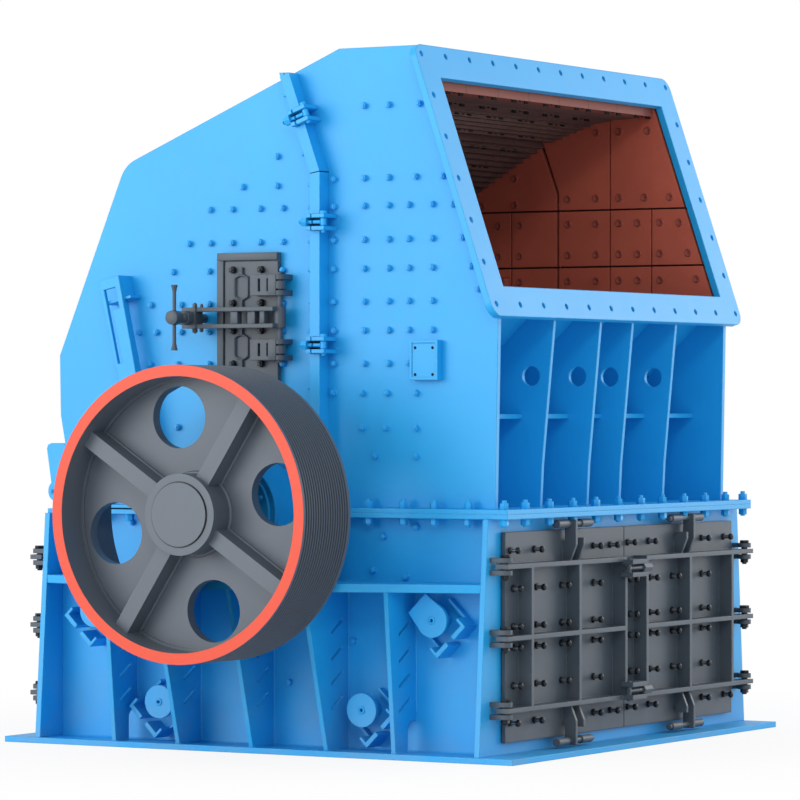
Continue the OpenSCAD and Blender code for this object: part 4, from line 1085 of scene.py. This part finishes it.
# %% Screws, plugs, keepers
COVER_XS, COVER_ZS, COVER_Y = (728, 812), (1606, 1718), -1106
PLUGS = ((410, 480), (91, 296))
ADJUSTERS, ADJUSTER_Y = ((850, 582), (510, 197)), 1180
KEEPER_XS, KEEPER_IN, KEEPER_OUT, PIVOT_Z = (-1116, -1080), 1101, 1111, 1100
SUNK_SCREW = [(0, 0), (2, 1.4), (5, 1.4), (6.5, 0)]
CENTRE_RING = [(7.5, 0), (7.5, 3), (10, 5), (14, 5), (17, 3), (17, 0)]


def wall_fittings():
    screws, plates = Piece("cover_screws_painted_shade"), Piece("wall_plugs")
    for x in COVER_XS:
        for z in COVER_ZS:
            screws.spin(SUNK_SCREW, (x, COVER_Y, z), (0, -1, 0), 16)
    for side in SIDES:
        out = (0, side, 0)
        for x, z in PLUGS:
            bolt(plates, (x, side * HALF_WIDTH, z), out, stud=2)
        for x, z in ADJUSTERS:
            for end in SIDES:
                plates.spin(CENTRE_RING, (end * x, side * ADJUSTER_Y, z), out, 20)
        plates.block((-1126, side * KEEPER_IN, PIVOT_Z - 14),
                     (-1070, side * KEEPER_OUT, PIVOT_Z + 14), 2)
        for x in KEEPER_XS:
            bolt(plates, (x, side * KEEPER_OUT, PIVOT_Z), out, across=14, stud=2)
    # The screws take the dull black of painted shade.
    screws.done("frame", shade, "blue_paint")
    plates.done("frame", blue_fittings, "blue_paint")


wall_fittings()

# %% [markdown]
# ## Weld beads
#
# Ribs, shelves and gussets are welded to the walls. A bead is a thin tube whose
# radius swells at even steps, as a welder's ripples do.

# %% Beads in the inside corners
RIPPLE = 9.0


def bead(piece, start, end, radius=4.5):
    start, end = Vector(start), Vector(end)
    count = max(2, int((end - start).length / RIPPLE))
    points = [start.lerp(end, k / count) for k in range(count + 1)]
    piece.tube(points, [radius * (1.12 if k % 2 else 0.92) for k in range(count + 1)], 6)


RIB_XS = (-702, -372, 0, 372, 702)
GUSSET_YS = (-570, -150, 150, 570)
PLATE_FACE, WALL_WELD, WELD_END = 11, 1071, 1085
LONG_BEADS = ((736, 4.5), (26, 4.5), (1004, 3.5))


def weld_beads():
    lower, upper = Piece("rib_welds"), Piece("gusset_welds")
    for side in SIDES:
        wall = side * WALL_WELD
        for rib_x in RIB_XS:
            foot = 190 if abs(rib_x) > 700 else 30
            for x in (rib_x - PLATE_FACE, rib_x + PLATE_FACE):
                bead(lower, (x, wall, foot), (x, wall, 698))
                bead(lower, (x, side * 1150, 26), (x, side * 1236, 26))
        for z, radius in LONG_BEADS:
            bead(lower, (-WELD_END, wall, z), (WELD_END, wall, z), radius)
    for gusset_y in GUSSET_YS:
        for y in (gusset_y - PLATE_FACE, gusset_y + PLATE_FACE):
            bead(upper, (760, y, 1047), (1030, y, 1047))
    lower.done("frame", blue_fittings, "blue_paint")
    upper.done("frame", blue_fittings, "blue_paint")


weld_beads()

# %% [markdown]
# ## Light and floor
#
# The machine stands in an even studio light: a broad key from the drive side, a
# weaker lamp beyond the feed end, a small one over the near corner for crisp edges,
# and a pale sky. The floor keeps a soft shadow and fades into white far out.

# %% Lamps
MIDDLE = Vector((0.0, 0.0, 1.4))


def lamp(name, at, size, power):
    """A round lamp of a width in metres and a power in watts, aimed at the machine."""
    light = bpy.data.lights.new(name, "AREA")
    light.shape, light.size, light.energy = "DISK", size, power
    thing = bpy.data.objects.new(name, light)
    thing.location = at
    thing.rotation_euler = (MIDDLE - Vector(at)).to_track_quat("-Z", "Y").to_euler()
    bpy.context.scene.collection.objects.link(thing)


lamp("key", (-10.0, -16.5, 3.2), 16.0, 2300.0)
lamp("feed_side", (7.4, 12.2, 4.6), 8.0, 540.0)
lamp("small_fill", (8.0, -13.0, 8.0), 2.0, 230.0)

# %% The sky and the floor
WHITE, SKY_TINT, SKY = (1.0, 1.0, 1.0), (0.93, 0.96, 1.0), 0.92
FLOOR_TONES = (0.80, 0.80, 0.80), (0.83, 0.83, 0.83)
FLOOR_REACH, FADE_START, FADE_LENGTH = 40.0, 1.9, 2.2


def sky():
    world = bpy.data.worlds.new("studio")
    bpy.context.scene.world = world
    studio = Nodes(world)
    path = studio.add("ShaderNodeLightPath").outputs
    seen = studio.add("ShaderNodeMath", {"operation": "MAXIMUM"},
                      {0: path["Is Camera Ray"], 1: path["Is Transmission Ray"]})
    soft = studio.add("ShaderNodeBackground", None, {"Color": SKY_TINT, "Strength": SKY})
    white = studio.add("ShaderNodeBackground", None, {"Color": WHITE, "Strength": 1.0})
    both = studio.add("ShaderNodeMixShader", None,
                      {0: seen.outputs[0], 1: soft.outputs[0], 2: white.outputs[0]})
    studio.add("ShaderNodeOutputWorld", None, {"Surface": both.outputs[0]})


def floor():
    """A pale floor; to the camera it is nearly all white, and quite white far out."""
    finish = Finish("studio_floor")
    finish.set(Base_Color=finish.mix(finish.noise(3.0), *FLOOR_TONES), Roughness=0.9)
    x, y, z = finish.xyz()
    far = (((x * x + y * y).math("SQRT") - FADE_START) / FADE_LENGTH).clamped()
    white = finish.add("ShaderNodeEmission", None, {"Color": WHITE, "Strength": 1.0})
    path = finish.add("ShaderNodeLightPath")
    seen = Value(finish, path.outputs["Is Camera Ray"]) * (0.88 + far * 0.12)
    both = finish.add("ShaderNodeMixShader", None,
                      {0: seen, 1: finish.paint.outputs[0], 2: white.outputs[0]})
    finish.feed(finish.end.inputs["Surface"], both.outputs[0])
    data = bpy.data.meshes.new("studio_floor")
    r = FLOOR_REACH
    data.from_pydata([(-r, -r, 0), (r, -r, 0), (r, r, 0), (-r, r, 0)], [], [(0, 1, 2, 3)])
    data.materials.append(finish.material)
    thing = bpy.data.objects.new("studio_floor", data)
    bpy.context.scene.collection.objects.link(thing)


sky()
floor()
bpy.context.scene.view_settings.view_transform = "Standard"
print("view transform:", bpy.context.scene.view_settings.view_transform)

# %% [markdown]
